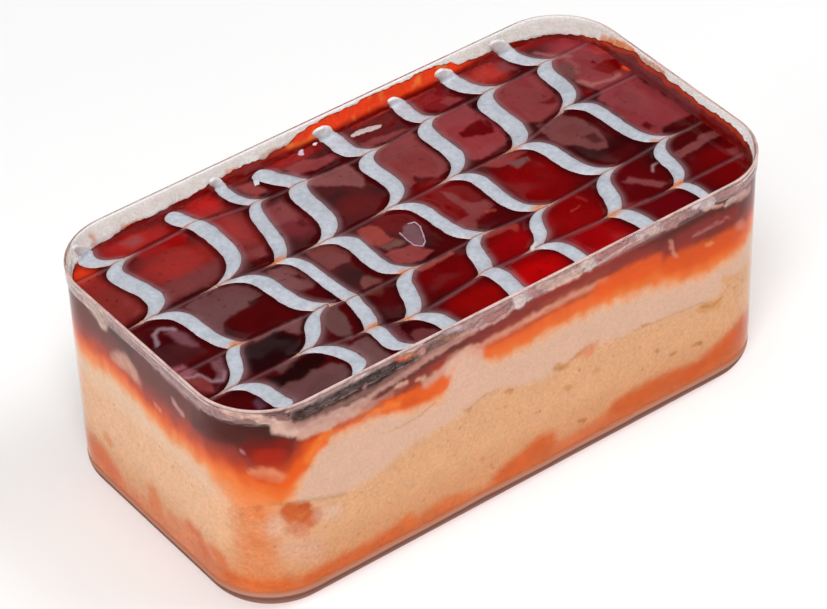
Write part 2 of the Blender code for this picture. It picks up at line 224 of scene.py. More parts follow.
# What shows on the wall: a stroke's points (t, z), half width, softness, colour, strength
STROKES = (
    # the near left corner
    (((-59, 40.6), (-56, 39.4), (-54.2, 39.6)), 2.4, 1, "#7c1408", 0.95),
    (((-57.6, 38), (-55, 38.2)), 1.7, 1, "#a42008", 0.9),
    (((-60, 34.8), (-57, 34.8), (-54, 32.9)), 0.9, 0.4, "#d88a64", 0.75),
    (((-59.2, 34.2), (-57, 33.6), (-55.6, 33)), 0.8, 0.5, "#d06a44", 0.8),
    (((-53.5, 25.2), (-49.5, 24.2)), 1, 0.7, "#bc4a14", 0.9),
    (((-53.3, 24.2), (-49.6, 22), (-48, 21)), 1.7, 1.1, "#c65a22", 0.9),
    (((-52.6, 20.4), (-50.5, 18.6)), 1.3, 0.9, "#d07a58", 0.75),
    (((-58.6, 26.4), (-58.9, 24.4)), 0.9, 0.7, "#c65a20", 0.85),
    (((-60.6, 18.8), (-59.4, 17.2)), 0.9, 0.8, "#d4702c", 0.8),
    (((-60, 24), (-60, 9)), 3.5, 3.5, "#d87e4c", 0.8),
    (((-55.8, 22.5), (-56.4, 20.5)), 1.2, 1.6, "#e0b4a0", 0.5),
    (((-52.8, 15.5), (-49, 13)), 2, 3, "#d8a48e", 0.5),
    (((-46.5, 21), (-43.5, 19.8)), 1.2, 1.6, "#deb6a2", 0.5),
    (((-66, 31), (-60, 27.5)), 3, 3, "#e88448", 0.5),
    # the orange arm that rises to the right of it, and the cream above it
    (((-53, 31.5), (-48, 36.3), (-43, 39), (-38, 38.6), (-30, 37.6), (-21, 36.2)), 1.1, 1,
     "#e4560c", 0.8),
    (((-28, 38), (-22, 36.2), (-19, 36.4)), 1.4, 1, "#e05a10", 0.8),
    (((-48.6, 35.4), (-45.4, 38.4), (-43.6, 38.8)), 0.7, 1, "#ea7c28", 0.7),
    (((-36, 38.6), (-31.5, 38.2), (-28.5, 37.2)), 0.5, 0.9, "#ea7c34", 0.7),
    (((-27, 36.4), (-24.6, 35.6)), 0.7, 0.9, "#d4500c", 0.7),
    (((-43, 37), (-38, 36.8), (-33.5, 36.4)), 0.7, 1.3, "#e0a884", 0.75),
    (((-50, 41.2), (-45.4, 40.4), (-41, 39.2), (-36, 38.9), (-32, 39.2)), 0.2, 0.5, "#a46048", 0.8),
    (((-50, 41.4), (-46.5, 41.2), (-43.5, 40.4)), 0.8, 0.6, "#d8a890", 0.8),
    (((-54, 45), (-50.5, 43.3), (-46, 42.4), (-40, 41.3), (-35, 41.3)), 1.5, 0.8, "#c89c8c", 0.9),
    (((-36, 40.4), (-30, 40.6), (-27, 41)), 0.6, 0.5, "#b07464", 0.75),
    (((-28.4, 40.2), (-22, 40.4)), 0.8, 0.8, "#7c3428", 0.7),
    (((-34.6, 42.4), (-27, 43.4), (-20, 44.6), (-12, 45.4)), 0.55, 0.5, "#c08c7e", 0.85),
    (((-22, 44.8), (-16, 45.3), (-11.5, 45.6)), 0.8, 0.6, "#c8968a", 0.8),
    (((-34, 41.6), (-27, 42.2), (-20, 43), (-14, 44)), 0.45, 0.4, "#5c2e26", 0.7),
    (((-28.6, 41.6), (-26.6, 41.3)), 0.35, 0.4, "#dca890", 0.8),
    (((-24.4, 40.6), (-22.6, 40.4)), 0.35, 0.4, "#dca890", 0.7),
    (((-22, 38.8), (-17, 39.8), (-13, 41.4)), 0.9, 1, "#d09a84", 0.85),
    (((-13, 41), (-10.5, 40.6), (-10.2, 38.4)), 1, 0.8, "#d8a48e", 0.85),
    (((-15.4, 39.6), (-14, 37.6), (-13, 34)), 2.3, 1.4, "#dcae98", 0.8),
    # the near wall's right half
    (((-10, 41), (-4, 41.2), (4, 41.6), (12, 41.7), (19, 41.4)), 0.6, 0.8, "#d48c70", 0.85),
    (((-8, 38.6), (4, 38.8), (17, 39)), 1, 1.2, "#e4682c", 0.6),
    (((18, 40), (24, 40.2), (31, 39.6)), 1.6, 1.2, "#e4560e", 0.85),
    (((35, 37.4), (42, 36.2), (50, 36)), 2, 1.6, "#d8500a", 0.85),
    (((35, 41.4), (42, 41.8), (50, 41.2)), 1.7, 1.2, "#8c2a24", 0.75),
    (((34.6, 42.6), (35.4, 39.8), (36, 38.2)), 0.35, 0.5, "#c88468", 0.7),
    (((40, 41.2), (48.5, 41.4)), 0.25, 0.3, "#b47a74", 0.6),
    (((43.6, 37.4), (45, 37)), 0.4, 0.4, "#e08a4c", 0.7),
    (((52, 38), (54, 36.4)), 0.8, 0.8, "#d88064", 0.6),
    # the pale smears on the left wall
    (((-105.5, 47.4), (-103, 46.8), (-101.8, 45.6)), 1.7, 0.8, "#ccae9e", 0.85),
    (((-97, 39.4), (-94.6, 40.9), (-92, 39.6)), 1.2, 1.1, "#cc9886", 0.85),
    (((-99, 38.4), (-96, 38.7), (-90.6, 38.3)), 0.6, 0.9, "#cc8c74", 0.7),
    (((-79.2, 41.2), (-76.8, 40.2)), 0.6, 0.5, "#c89090", 0.8),
    (((-85.6, 36.2), (-84, 35.9)), 0.35, 0.4, "#e49a78", 0.6),
    (((-61.4, 39.5), (-61.3, 39.4)), 0.3, 0.25, "#d8a0a8", 0.8),
    (((-99, 48.4), (-92, 47.6), (-84, 46.8), (-72, 46.6), (-63, 47.6)), 1.2, 0.6, "#b08c8c", 0.6),
    (((-90, 46.8), (-83, 45.9), (-75, 45.6), (-66, 46.2)), 0.5, 0.4, "#a88080", 0.6),
    (((-93, 48.8), (-86, 47.6), (-81, 47.2)), 0.5, 0.5, "#ccaaaa", 0.6),
    (((-98.5, 45.4), (-93, 44.6)), 1, 0.8, "#4a302c", 0.7),
    (((-72, 41), (-64, 42.4), (-58, 43)), 1.6, 1.6, "#4c1c18", 0.7),
    # the dark under the near lip, and the pale smears around it, up to the rim
    (((-50.5, 46.6), (-40, 46.5), (-32, 46.7), (-25, 46.5)), 1.2, 0.5, "#2a0a05", 1),
    (((-24, 46.9), (-20, 46.6), (-15.5, 46.5)), 0.9, 0.8, "#5e2410", 0.85),
    (((-52, 48.5), (-40, 48.5), (-31, 48.6), (-24, 48.9)), 0.45, 0.45, "#bd9995", 0.7),
    (((-64, 48.4), (-59, 48.4), (-55.6, 46.8), (-53.8, 44.6), (-51.5, 42.9)), 1, 0.6, "#dab2a2",
     0.9),
    (((-54, 47.6), (-52.8, 47), (-52.6, 46.2)), 0.35, 0.5, "#763829", 0.8),
    (((-51.4, 45.5), (-50, 45.6)), 0.3, 0.4, "#5c2408", 0.8),
    (((-38.6, 49), (-36.6, 48.5), (-35.4, 49)), 0.6, 0.5, "#dbc0bf", 0.85),
    (((-52, 44.2), (-44, 44.2), (-38, 44), (-32, 43.9), (-24, 44.9)), 0.45, 0.7, "#9c7064", 0.6),
    (((-29.2, 48.6), (-27.8, 47.9), (-26.4, 47.3)), 0.5, 0.6, "#d35532", 0.85),
    (((-26.6, 47.8), (-25.4, 47.4), (-24.4, 47)), 0.35, 0.5, "#e28f4f", 0.8),
    (((-25.4, 46.6), (-24, 46.3)), 0.3, 0.5, "#75382c", 0.7),
    (((-27, 49), (-25, 48.6), (-23.4, 48.8)), 0.5, 0.5, "#e2beb4", 0.8),
    (((-35.6, 45.5), (-35.5, 45)), 0.3, 0.3, "#b07c74", 0.8),
    (((-23.2, 47), (-23, 46.6)), 0.6, 0.4, "#d79989", 0.85),
    (((-24, 44.8), (-18, 45), (-12, 45.2)), 0.5, 0.8, "#a86e5c", 0.5),
    (((-19.4, 48), (-17.4, 47.2), (-15, 46.4)), 0.4, 0.7, "#bd7e59", 0.5),
    (((-17.8, 49.2), (-16, 48.6), (-14.6, 48.2)), 0.7, 0.6, "#d7c4cb", 0.85),
    (((-14, 47.8), (-11.6, 48.2), (-9, 48.4), (-4, 48.4)), 0.6, 0.6, "#c89998", 0.7),
    (((-8.6, 46.6), (-6, 46.4), (-4, 46.6)), 0.7, 0.8, "#b66560", 0.7),
    (((-10.7, 45.3), (-10.4, 46.6), (-9, 47.4)), 0.25, 0.3, "#d3a19a", 0.7),
    (((-9.8, 45.2), (-6.5, 44.9), (-3.4, 45.2), (-2.6, 46.4)), 0.3, 0.35, "#cfa8a0", 0.8),
    (((-1.9, 49), (-1.2, 47.4), (-0.7, 46.4)), 1.15, 0.5, "#ddc7c5", 0.95),
    (((1.4, 47.8), (3.4, 46.8)), 0.8, 0.7, "#bd7e7e", 0.6),
    (((3.4, 48.2), (8, 47.4), (13, 47.2)), 0.9, 0.6, "#d8b6ac", 0.8),
    (((5, 46.4), (9, 46.2), (13, 46)), 0.7, 0.5, "#dab2a2", 0.85),
    (((14.2, 49), (14.8, 47.6), (15.2, 46.6)), 1.2, 0.6, "#ddc9bf", 0.9),
    (((17.6, 48), (24, 47.9)), 0.5, 0.5, "#b67373", 0.6),
    (((17.4, 46.2), (20, 46.7), (24, 47.2), (28, 47.3)), 0.35, 0.4, "#daaca4", 0.8),
    (((18, 45.4), (25, 46.2)), 0.2, 0.3, "#a06860", 0.6),
    (((1, 44.6), (8, 45), (16, 44.8), (24, 45.2)), 0.35, 0.6, "#a02814", 0.6),
    (((4, 43.4), (12, 43.2), (20, 43.6)), 0.3, 0.6, "#a4442c", 0.5),
    (((26.6, 49), (28.4, 48.6), (30.2, 48.2)), 1, 0.6, "#d9c5c5", 0.9),
    (((29.6, 47.6), (31.2, 47.3)), 0.8, 0.5, "#dab6a6", 0.9),
    (((30, 46.3), (32, 46.1)), 0.3, 0.5, "#824034", 0.6),
    (((32.4, 48), (35, 47), (37.6, 47.6)), 0.6, 0.7, "#bd8a85", 0.7),
    (((33, 46.6), (36, 46)), 0.4, 0.5, "#c88d7e", 0.6),
    (((40, 49), (42, 48), (44, 46.8)), 0.95, 0.5, "#d8c4c5", 0.9),
    (((42.6, 46.2), (45, 45.6), (46.8, 45.3)), 0.3, 0.3, "#d09c84", 0.85),
    (((46.6, 48), (50, 47.4), (54, 47)), 0.9, 0.8, "#c18f8d", 0.6),
    (((48, 44.8), (50.4, 45.2), (53, 45)), 0.5, 0.4, "#d2b2a6", 0.85),
    (((52, 44.4), (55, 44.2)), 0.8, 0.8, "#c4988e", 0.8),
    # the smears on the far wall and at the right end
    (((-134.6, 45.4), (-137.5, 45.4), (-139.8, 44.4)), 0.5, 0.4, "#cc9884", 0.85),
    (((-135.2, 45.2), (-136, 45.3)), 0.3, 0.3, "#e8803c", 0.9),
    (((-158, 45.6), (-160, 45), (-162.2, 44.6)), 0.9, 0.5, "#b48c80", 0.85),
    (((-158.4, 46.8), (-160.6, 46.6)), 0.3, 0.3, "#e8a070", 0.9),
    (((-166, 46.3), (-169, 46.6), (-173, 46.2)), 0.5, 0.4, "#c8a288", 0.85),
    (((-127.4, 47.2), (-127.8, 45.2)), 0.5, 0.5, "#d89a88", 0.8),
    (((-123, 49), (-124.5, 46), (-125, 44)), 1.1, 0.7, "#dcd2d0", 0.7),
    (((-156.6, 49), (-155.8, 46)), 1, 0.6, "#dcd4d0", 0.6),
    (((137.4, 49), (136, 46.5)), 1.2, 0.7, "#dcd4d0", 0.6),
    (((110, 46.3), (106, 47.1), (102, 48)), 0.8, 0.5, "#e8843c", 0.85),
    (((100.5, 47.6), (97, 47.9), (92, 48)), 0.5, 0.4, "#d09070", 0.8),
    (((97, 46.6), (92, 47.4)), 0.35, 0.4, "#e0b0a0", 0.7),
    # holes in the cake behind the near wall, darkened with painted shade, and syrup
    (((7.6, 26.4), (9.6, 25.6)), 0.8, 0.5, "#c88a50", 0.85),
    (((13.2, 26.8), (16.6, 27)), 0.7, 0.6, "#dd8a5c", 0.75),
    (((14.6, 25.8), (15.8, 25.6)), 0.5, 0.5, "#e0805c", 0.7),
    (((-3.6, 26.8), (-2.6, 26.4)), 0.5, 0.4, "#c0783c", 0.75),
    (((43, 22.4), (46.6, 21.4)), 0.9, 0.7, "#d09050", 0.8),
    (((48.4, 26.8), (50, 26)), 0.6, 0.6, "#d89c60", 0.7),
    (((10, 20.2), (10.6, 19.8)), 0.6, 0.5, "#cc8c50", 0.8),
    (((17, 20.6), (18, 20.4)), 0.4, 0.4, "#c88c58", 0.6),
    (((13.4, 10.2), (14.4, 9.8)), 0.4, 0.4, "#b8683a", 0.8),
    (((41.4, 14.1), (43, 13.7)), 0.3, 0.3, "#a8683c", 0.75),
    (((35.9, 14.8), (36.5, 14.6)), 0.3, 0.3, "#b0703c", 0.7),
    (((32, 17.6), (32.4, 17.4)), 0.35, 0.3, "#b0703c", 0.7),
    (((-10, 13.6), (-9.6, 13.4)), 0.4, 0.4, "#c08850", 0.7),
    (((28.2, 25.7), (29.4, 25.5)), 0.3, 0.3, "#b87840", 0.7),
    (((-13.4, 27.6), (-12.4, 27.2)), 0.4, 0.4, "#c48850", 0.6),
    # patches of syrup along the bottom
    (((-110, 9.5), (-106, 9), (-103, 7)), 2, 2.9, "#d0602c", 0.7),
    (((-104.6, 15.7), (-103.6, 15.2)), 0.7, 1.4, "#de8448", 0.7),
    (((-89.6, 12.4), (-88.4, 9.4)), 1, 2, "#dc7636", 0.8),
    (((-84, 10), (-79, 10.4)), 0.9, 1.8, "#d87040", 0.6),
    (((-78, 12.4), (-74.5, 12), (-73, 9)), 0.9, 1.6, "#d06030", 0.75),
    (((-70.5, 11.6), (-68, 10.8)), 0.9, 1.6, "#d46834", 0.75),
    (((-66, 7.4), (-59, 7), (-55, 7)), 0.9, 1.8, "#d4601f", 0.75),
    (((-50, 6.8), (-43, 7), (-36, 6.6), (-30, 7)), 0.8, 1.4, "#cc5c22", 0.75),
    (((-27.6, 8.6), (-26.6, 7)), 0.9, 1.4, "#d46a2c", 0.8),
    (((-22, 6.8), (-18, 7.4), (-14, 6.8)), 0.8, 1.4, "#d06a34", 0.75),
    (((-5, 7), (0, 8), (4, 9.8), (5.8, 9.4)), 1.6, 1.8, "#ce5c1e", 0.8),
    (((8, 6.6), (14, 6.8), (20, 7.4)), 0.8, 1.8, "#ce683c", 0.6),
    (((23, 9), (28, 8.8), (34, 9), (40, 8)), 1.5, 1.8, "#c85618", 0.85),
    (((41, 7.4), (46, 8.6), (51, 10.8), (54, 12)), 1.5, 1.8, "#cc5618", 0.85),
)  # fmt: skip
# Cracks in the cake behind the wall, pressed in and darkened with painted shade: points (t, z),
# width
CRACKS = (
    (((-57, 27), (-51, 26.2), (-46, 24.4), (-41, 22.6)), 0.4),
    (((-32.5, 32.2), (-28, 31.6), (-24, 31.8), (-20.5, 33)), 0.25),
    (((7, 26.4), (9, 25.6), (12, 26.6), (16, 27.4)), 0.35),
    (((26, 25.4), (31, 25), (38, 24.2), (43, 23.6)), 0.2),
    (((-13, 27.2), (-9.5, 28.8), (-6, 28.4)), 0.25),
    (((43, 22.6), (46, 21.2), (48, 22.4)), 0.35),
)
CRACK_DEPTH = 0.15 * MM
# How strong the milky haze on the inner wall is along t
HAZE_COVER = (
    (-180, 0.62), (-122, 0.6), (-112, 0.45), (-100, 0.3), (-70, 0.3), (-58, 0.2), (-53, 0.02),
    (-24, 0.04), (-16, 0.4), (36, 0.45), (46, 0.3), (58, 0.3), (70, 0.35), (110, 0.6), (180, 0.62),
)  # fmt: skip
# How orange the caramel is that clings to the wall along t
CLING_ORANGE = (
    (-180, 1), (-174, 0.9), (-168, 0.2), (-160, 0.1), (60, 0.1), (80, 0.25), (90, 0.2),
    (98, 0.5), (104, 0.4), (110, 0.3), (118, 0.1), (140, 0.3), (144, 1), (180, 1),
)  # fmt: skip
# How dark the caramel's band is along t
DARK_BAND = (
    (-110, 0), (-74, 0.1), (-66, 0.7), (-60, 0.85), (-52, 0.97), (-30, 0.95), (-22, 0.5), (-14, 0.2),
    (-6, 0), (26, 0), (34, 0.6), (48, 0.7), (56, 0.3), (70, 0.5), (110, 0.5),
)  # fmt: skip
# From the cream up through the orange into the dark caramel: height in the band, colour
# painted light: the left wall's band, painted lighter at its pale end like the cream there
BAND_LEFT = (
    (-0.35, "#e8be9c"), (0, "#eaa87c"), (0.2, "#ee8444"), (0.45, "#de5c24"), (0.7, "#b4422a"),
    (0.95, "#8e3c32"), (1.15, "#783832"), (1.5, "#6a3832"),
)  # fmt: skip
BAND_FRONT = (
    (-0.35, "#e2b296"), (0, "#e4a076"), (0.2, "#e67430"), (0.5, "#e25a0c"), (0.75, "#be3c0e"),
    (0.95, "#94301e"), (1.15, "#8c3026"), (1.5, "#7e2c24"),
)  # fmt: skip
# The foot of the box: the bands that its thick plastic shows, painted on in the syrup's colours,
# painted shadow where dark and painted highlight where bright: height, colour
FOOT_SHADES = (
    (0, "#a88c84"), (2.6, "#92685c"), (3.2, "#7c5044"), (3.6, "#8c6050"), (3.95, "#bc9080"),
    (4.3, "#b8826c"), (4.7, "#b8745a"), (5.1, "#c06c46"),
)  # fmt: skip
FOOT_TOP = 5.6

# --- What shows in the glaze, in mm ---

# Reds of the caramel seen from above: (x, y), reach along X and along Y, colour, strength
REDS = (
    (-42, 18, 9, 6, "#94201a", 0.9),
    (-44, 28, 9, 3, "#a01410", 0.9),
    (-57, 26, 3, 3, "#d83810", 1),
    (-57, 20, 4, 5, "#8c2826", 0.9),
    (-28, 29, 4, 3, "#ac0a08", 0.9),
    (-28, 20, 5, 8, "#922a28", 0.8),
    (-18, 13, 4, 4, "#74202a", 0.7),
    (-6, 30, 6, 2, "#8c0a0a", 0.9),
    (14, 32.2, 18, 1.2, "#c02404", 0.9),
    (12, 28, 7, 3, "#580204", 1),
    (25, 28, 5, 4, "#74020a", 1),
    (38, 28, 5, 4, "#a42a22", 1),
    (-5, 11, 5, 4, "#580406", 0.9),
    (-3, 3, 4, 4, "#600204", 0.9),
    (-4, -16, 8, 5, "#640205", 1),
    (-4, -25, 7, 4, "#800404", 1),
    (8, 1, 7, 8, "#700204", 1),
    (10, -17, 7, 5, "#800206", 1),
    (9, -25, 7, 4, "#a40204", 1),
    (25, -4, 7, 9, "#740204", 1),
    (24, -17, 8, 6, "#7c0204", 1),
    (23, -26, 7, 5, "#900206", 1),
    (38, -16, 7, 7, "#540206", 0.9),
    (39, -26, 6, 4, "#5c0208", 0.9),
    (56, -23, 7, 7, "#640204", 1),
    (52, 31, 6, 2, "#800406", 0.9),
    (56, 23, 6, 7, "#8c2c34", 0.9),
    (60, 18, 3, 4, "#aa3430", 0.9),
)
# Patches with ragged edges, painted light: mauve and pale ones are painted reflections of the
# soft lights in the glossy caramel, darker ones are painted shade: corners (x, y), softness, colour
REFLECTION_AND_SHADE_PATCHES = (
    # the far left
    (((-49, 14.5), (-35, 14), (-35.5, 11.5), (-37, 10), (-41, 9.2), (-49, 9.4)), 2, "#6e2c2c"),
    (((-59.5, 20), (-54.5, 20), (-52.8, 14), (-53.5, 10), (-59.5, 9.5)), 1.5, "#7a2824"),
    (((-46, 24.8), (-36, 25.5), (-35.2, 24), (-36, 22.2), (-41, 22.2), (-45.5, 23)), 0.5, "#880404"),
    (((-46, 29.4), (-42.6, 29.6), (-42, 27.4), (-45, 27)), 1, "#8a383a"),
    (((-50, 9.2), (-41.5, 9.2), (-40.5, 8.4), (-46, 7.7), (-50.5, 7.9)), 0.4, "#3a0608"),
    (((-20, 30), (-16.6, 29.6), (-15.8, 25.6), (-19, 24.6)), 0.6, "#843634"),
    (((-30.4, 12.6), (-25.6, 12.6), (-27.2, 9.6), (-30.6, 10.4)), 1, "#782e2e"),
    (((-20.8, 20.4), (-15.6, 21.4), (-15.4, 15.4), (-17, 14.6), (-21.2, 15.6)), 0.8, "#763234"),
    (((-20.6, 21.4), (-19, 22.4), (-17, 22.4), (-17.6, 20.9), (-19.4, 20.4)), 0.3, "#580808"),
    (((-17.6, 14), (-16, 14.4), (-15.8, 11.8), (-17.2, 12)), 0.5, "#4c0408"),
    (((-23.4, 7.8), (-18.6, 8.4), (-16.8, 7.4), (-18, 6.2), (-22.6, 6.3)), 0.4, "#3a0405"),
    (((-32, 9), (-30.6, 9), (-30.6, 7.8), (-32, 7.6)), 0.3, "#340406"),
    (((-28.6, 10.2), (-27, 9.8), (-26.8, 8.4), (-28.6, 8.6)), 0.4, "#400508"),
    # the far middle
    (((-9.6, 29), (-6, 28.6), (0.4, 26.8), (0.8, 24.9), (-5, 24.8), (-9, 25.4)), 0.4, "#803234"),
    (((-8.6, 23.2), (0.6, 22.8), (1, 18), (-0.4, 15.4), (-1.6, 14.9), (-2.4, 16.3), (-3.6, 17),
      (-4.6, 18.4), (-6.2, 19.2), (-7.6, 20.2), (-8.8, 21.4)), 0.35, "#763e3e"),
    (((6, 26), (10, 25.6), (16.6, 24), (17, 23.4), (12, 23), (6.6, 24.2)), 0.4, "#7a3232"),
    (((7.6, 22.6), (16, 22.6), (15.8, 17), (16, 12), (14.4, 9), (11.4, 8.6), (9.7, 9.6),
      (8.8, 11.4), (8.1, 11.5), (7.2, 10), (5.4, 9.4), (5.6, 14), (5.2, 19)), 0.35, "#7a3232"),
    (((20.6, 23.6), (29.4, 23.2), (30, 14), (29.4, 10.6), (27.6, 8.4), (21, 7.6), (19.6, 9),
      (20.2, 14)), 0.4, "#843034"),
    (((22.4, 16.6), (24, 16.3), (25.2, 17.3), (28.8, 17.6), (29.4, 14.4), (28.2, 12.4),
      (25.6, 13.6), (24.6, 14.4), (22.6, 14.8)), 0.3, "#5c0408"),
    (((26, 26.6), (28, 27.2), (30, 26), (30, 24.6), (26.6, 24.8)), 0.3, "#78282a"),
    # the far right
    (((35, 23.8), (46, 23), (45, 16), (44, 12), (43.6, 10.6), (37, 9.8), (34.6, 11),
      (34.2, 18)), 0.8, "#7c2e30"),
    (((41, 14.6), (44.6, 14.2), (43.4, 12.4), (41.8, 12.6)), 0.5, "#600c10"),
    (((33.9, 10), (35, 10.3), (36.8, 9.8), (35, 8), (33.8, 8.4)), 0.3, "#380306"),
    (((41.4, 30.6), (44, 30), (44.6, 26), (41.8, 26.4)), 0.8, "#782e32"),
    (((51, 27), (57, 24), (60.6, 18), (61, -6.8), (57.4, -6.4), (54, -6.2), (52.2, -8.2),
      (50.6, -6), (50, 0), (50.2, 8), (52, 10), (50.6, 16), (50.4, 22)), 0.6, "#7e2e32"),
    (((55.3, 16.8), (58.6, 17.6), (61.4, 16), (60.2, 13), (57, 13.2)), 0.35, "#6c0204"),
    (((56.2, 18.6), (57.4, 18.8), (57.4, 17.4), (56.4, 17.6)), 0.3, "#5c0206"),
    (((48.4, 13.4), (50.6, 13), (51.2, 10), (48.2, 10.2)), 0.4, "#5c0206"),
    (((51.2, -3.2), (52.8, -3), (53.2, -5.2), (51.6, -5.4)), 0.4, "#560a0e"),
    (((49.8, 22), (53.4, 21.4), (53, 17.4), (50.4, 16.6)), 0.9, "#6e403e"),
    # the middle band, from left to right
    (((-59.4, 5), (-56.4, 4), (-55.2, -1), (-53.2, -5.4), (-55.8, -5.2), (-59.4, -4.6)), 0.8,
     "#3c0408"),
    (((-54.4, 2.8), (-52.4, 3.2), (-51.6, 0.6), (-51.8, -3.8), (-52.8, -3.2), (-53.8, -0.6)), 0.7,
     "#6c4048"),
    (((-59.6, -5.6), (-57, -6.2), (-56, -9.6), (-59, -9.4)), 0.5, "#8a4650"),
    (((-59, -10), (-57, -9.8), (-55.6, -13.4), (-57, -15.8), (-59, -14)), 0.6, "#742c2c"),
    (((-53, -8.8), (-50.4, -8.8), (-51.4, -12.6), (-53.8, -15.2), (-55.6, -14), (-53.4, -12)), 0.5,
     "#6c4248"),
    (((-47, 7), (-40, 7.2), (-37, 6.4), (-35.2, 4.6), (-34.6, 0.6), (-37.5, 0.3), (-38.4, -0.6),
      (-41, -0.4), (-43.5, -0.8), (-44.6, -1.8), (-46.6, -4), (-47, 0)), 0.4, "#62393a"),
    (((-30, 5.6), (-26, 5), (-25, 0), (-25, -2.6), (-26, -3.4), (-28.6, -2.8), (-29.8, 0)), 0.5,
     "#6c3c3c"),
    (((-27, 2), (-25.8, 1.4), (-25.6, -0.4), (-26.8, -0.2)), 0.4, "#400508"),
    (((-21.2, 6), (-15.4, 4.6), (-15.2, -0.4), (-16.6, -1.8), (-19, -1.2), (-21, -1.4)), 0.4,
     "#6a3230"),
    (((-17.4, -6.4), (-16.4, -7), (-15.2, -9.4), (-15.6, -10.4), (-19.4, -9.6), (-18.6, -8)), 0.4,
     "#6c3834"),
    (((-10.2, 4.9), (-7, 4.8), (-6.3, 3.6), (-6.6, 0.6), (-6.2, -1.4), (-9.8, -1.4), (-10.8, 1)),
     0.4, "#88342e"),
    (((-9.8, -1.4), (-6, -1.6), (-5, -3.4), (-9, -3.6)), 0.4, "#6a3e3a"),
    (((-10.4, -3.8), (-4.6, -4.4), (-3.8, -6.6), (-2.6, -8.6), (-5, -9.4), (-8.6, -8.8),
      (-10.2, -7)), 0.4, "#823434"),
    (((-4.4, -1), (-2, 0.6), (-0.6, 0), (-0.6, -2), (-2, -5), (-3.6, -6.4), (-4.6, -4.6)), 0.3,
     "#6a464a"),
    (((9, 4.6), (10.6, 3), (10.8, 0), (12, -2.2), (14.4, -3), (14.6, -5), (12.4, -5.6),
      (9.4, -6.4), (7.6, -8.4), (5.6, -7.8), (5.2, -4.6), (9, -4.4), (9.2, 0)), 0.4, "#783232"),
    (((19.6, 5.9), (28.6, 5.6), (29.4, 4.2), (26, 3.6), (23.6, 3), (21, 4.2)), 0.4, "#843030"),
    (((24, 3.6), (28.6, 2.8), (28, 1.4), (24.6, 1.2)), 0.4, "#724242"),
    (((36, 9), (41.6, 8.8), (43.6, 6.4), (44.2, 0.6), (43.6, -1.6), (42, -4.4), (40, -4.4),
      (38.4, -1.2), (36.2, 1), (34.8, 4)), 0.4, "#6a3434"),
    (((40.4, 1), (43, 0.6), (42.6, -2.4), (40.8, -2)), 0.5, "#4a1216"),
    # the two bands nearest to the long wall
    (((-43, -8.1), (-32.5, -8.6), (-34.8, -12.6), (-36.4, -12), (-37.5, -9.6), (-43, -8.9)), 0.4,
     "#6a3e3d"),
    (((-47, -9), (-37.8, -9.6), (-36.6, -12.6), (-37, -15.4), (-41, -16.4), (-48, -16.6),
      (-49.2, -14), (-48, -11)), 0.5, "#200406"),
    (((-45, -17.2), (-39.5, -17), (-41.5, -18.6), (-44.6, -19.4)), 0.4, "#5a3433"),
    (((-47.5, -18), (-45, -19.2), (-36, -17.6), (-35.6, -19.5), (-36, -21.6), (-39, -21.8),
      (-42.6, -22.8), (-44.6, -22), (-47, -22.6)), 0.5, "#1e0404"),
    (((-47.3, -22.6), (-44.5, -22), (-42.6, -23.2), (-40, -22), (-36, -22.6), (-34.4, -24.5),
      (-35, -28), (-47.5, -28)), 0.4, "#5e3a3b"),
    (((-53.6, -22.6), (-51.8, -21.6), (-51.6, -25), (-53.4, -25.2)), 0.4, "#563440"),
    (((-30, -10), (-25.8, -10), (-26.6, -13), (-27.2, -17), (-29.4, -19.6), (-31, -16)), 0.4,
     "#5e3c3a"),
    (((-31, -20.8), (-26.4, -20.4), (-26.6, -28), (-31.4, -28)), 0.4, "#664242"),
    (((-20.6, -10.6), (-16.2, -10.8), (-16.8, -12.4), (-18.2, -13), (-19.4, -11.8)), 0.4,
     "#562219"),
    (((-22.2, -20.8), (-19.8, -21.2), (-21, -23), (-21.4, -28), (-22.6, -28)), 0.4, "#5a262a"),
    (((-20.6, -25), (-18.4, -24.6), (-16, -26.8), (-15.6, -28.4), (-20.6, -28.4)), 0.4, "#622e2e"),
    (((-8.6, -10.9), (0, -10.9), (0, -12), (-8, -11.7)), 0.3, "#883a32"),
    (((7, -10.9), (13.6, -11.4), (14, -12.4), (12.8, -14), (12, -12.6), (7.4, -12)), 0.35,
     "#8a2c26"),
    (((50, -14), (54, -13.6), (58, -13), (62, -13.4), (62, -15.4), (57, -15.2), (53, -15.8),
      (50, -15.8)), 0.35, "#763a3c"),
    (((37, -14.6), (39.4, -14.4), (42.4, -18.2), (43.8, -20.2), (41.6, -20.4), (39.6, -17.2)), 0.4,
     "#76383a"),
    (((58.6, -19.4), (60.4, -20), (60, -23), (58.6, -22.6)), 0.4, "#783232"),
    # the dark under the near lip
    (((-50, -27.8), (-21, -27.8), (-19, -33), (-50, -33)), 0.4, "#1c0a06"),
)  # fmt: skip
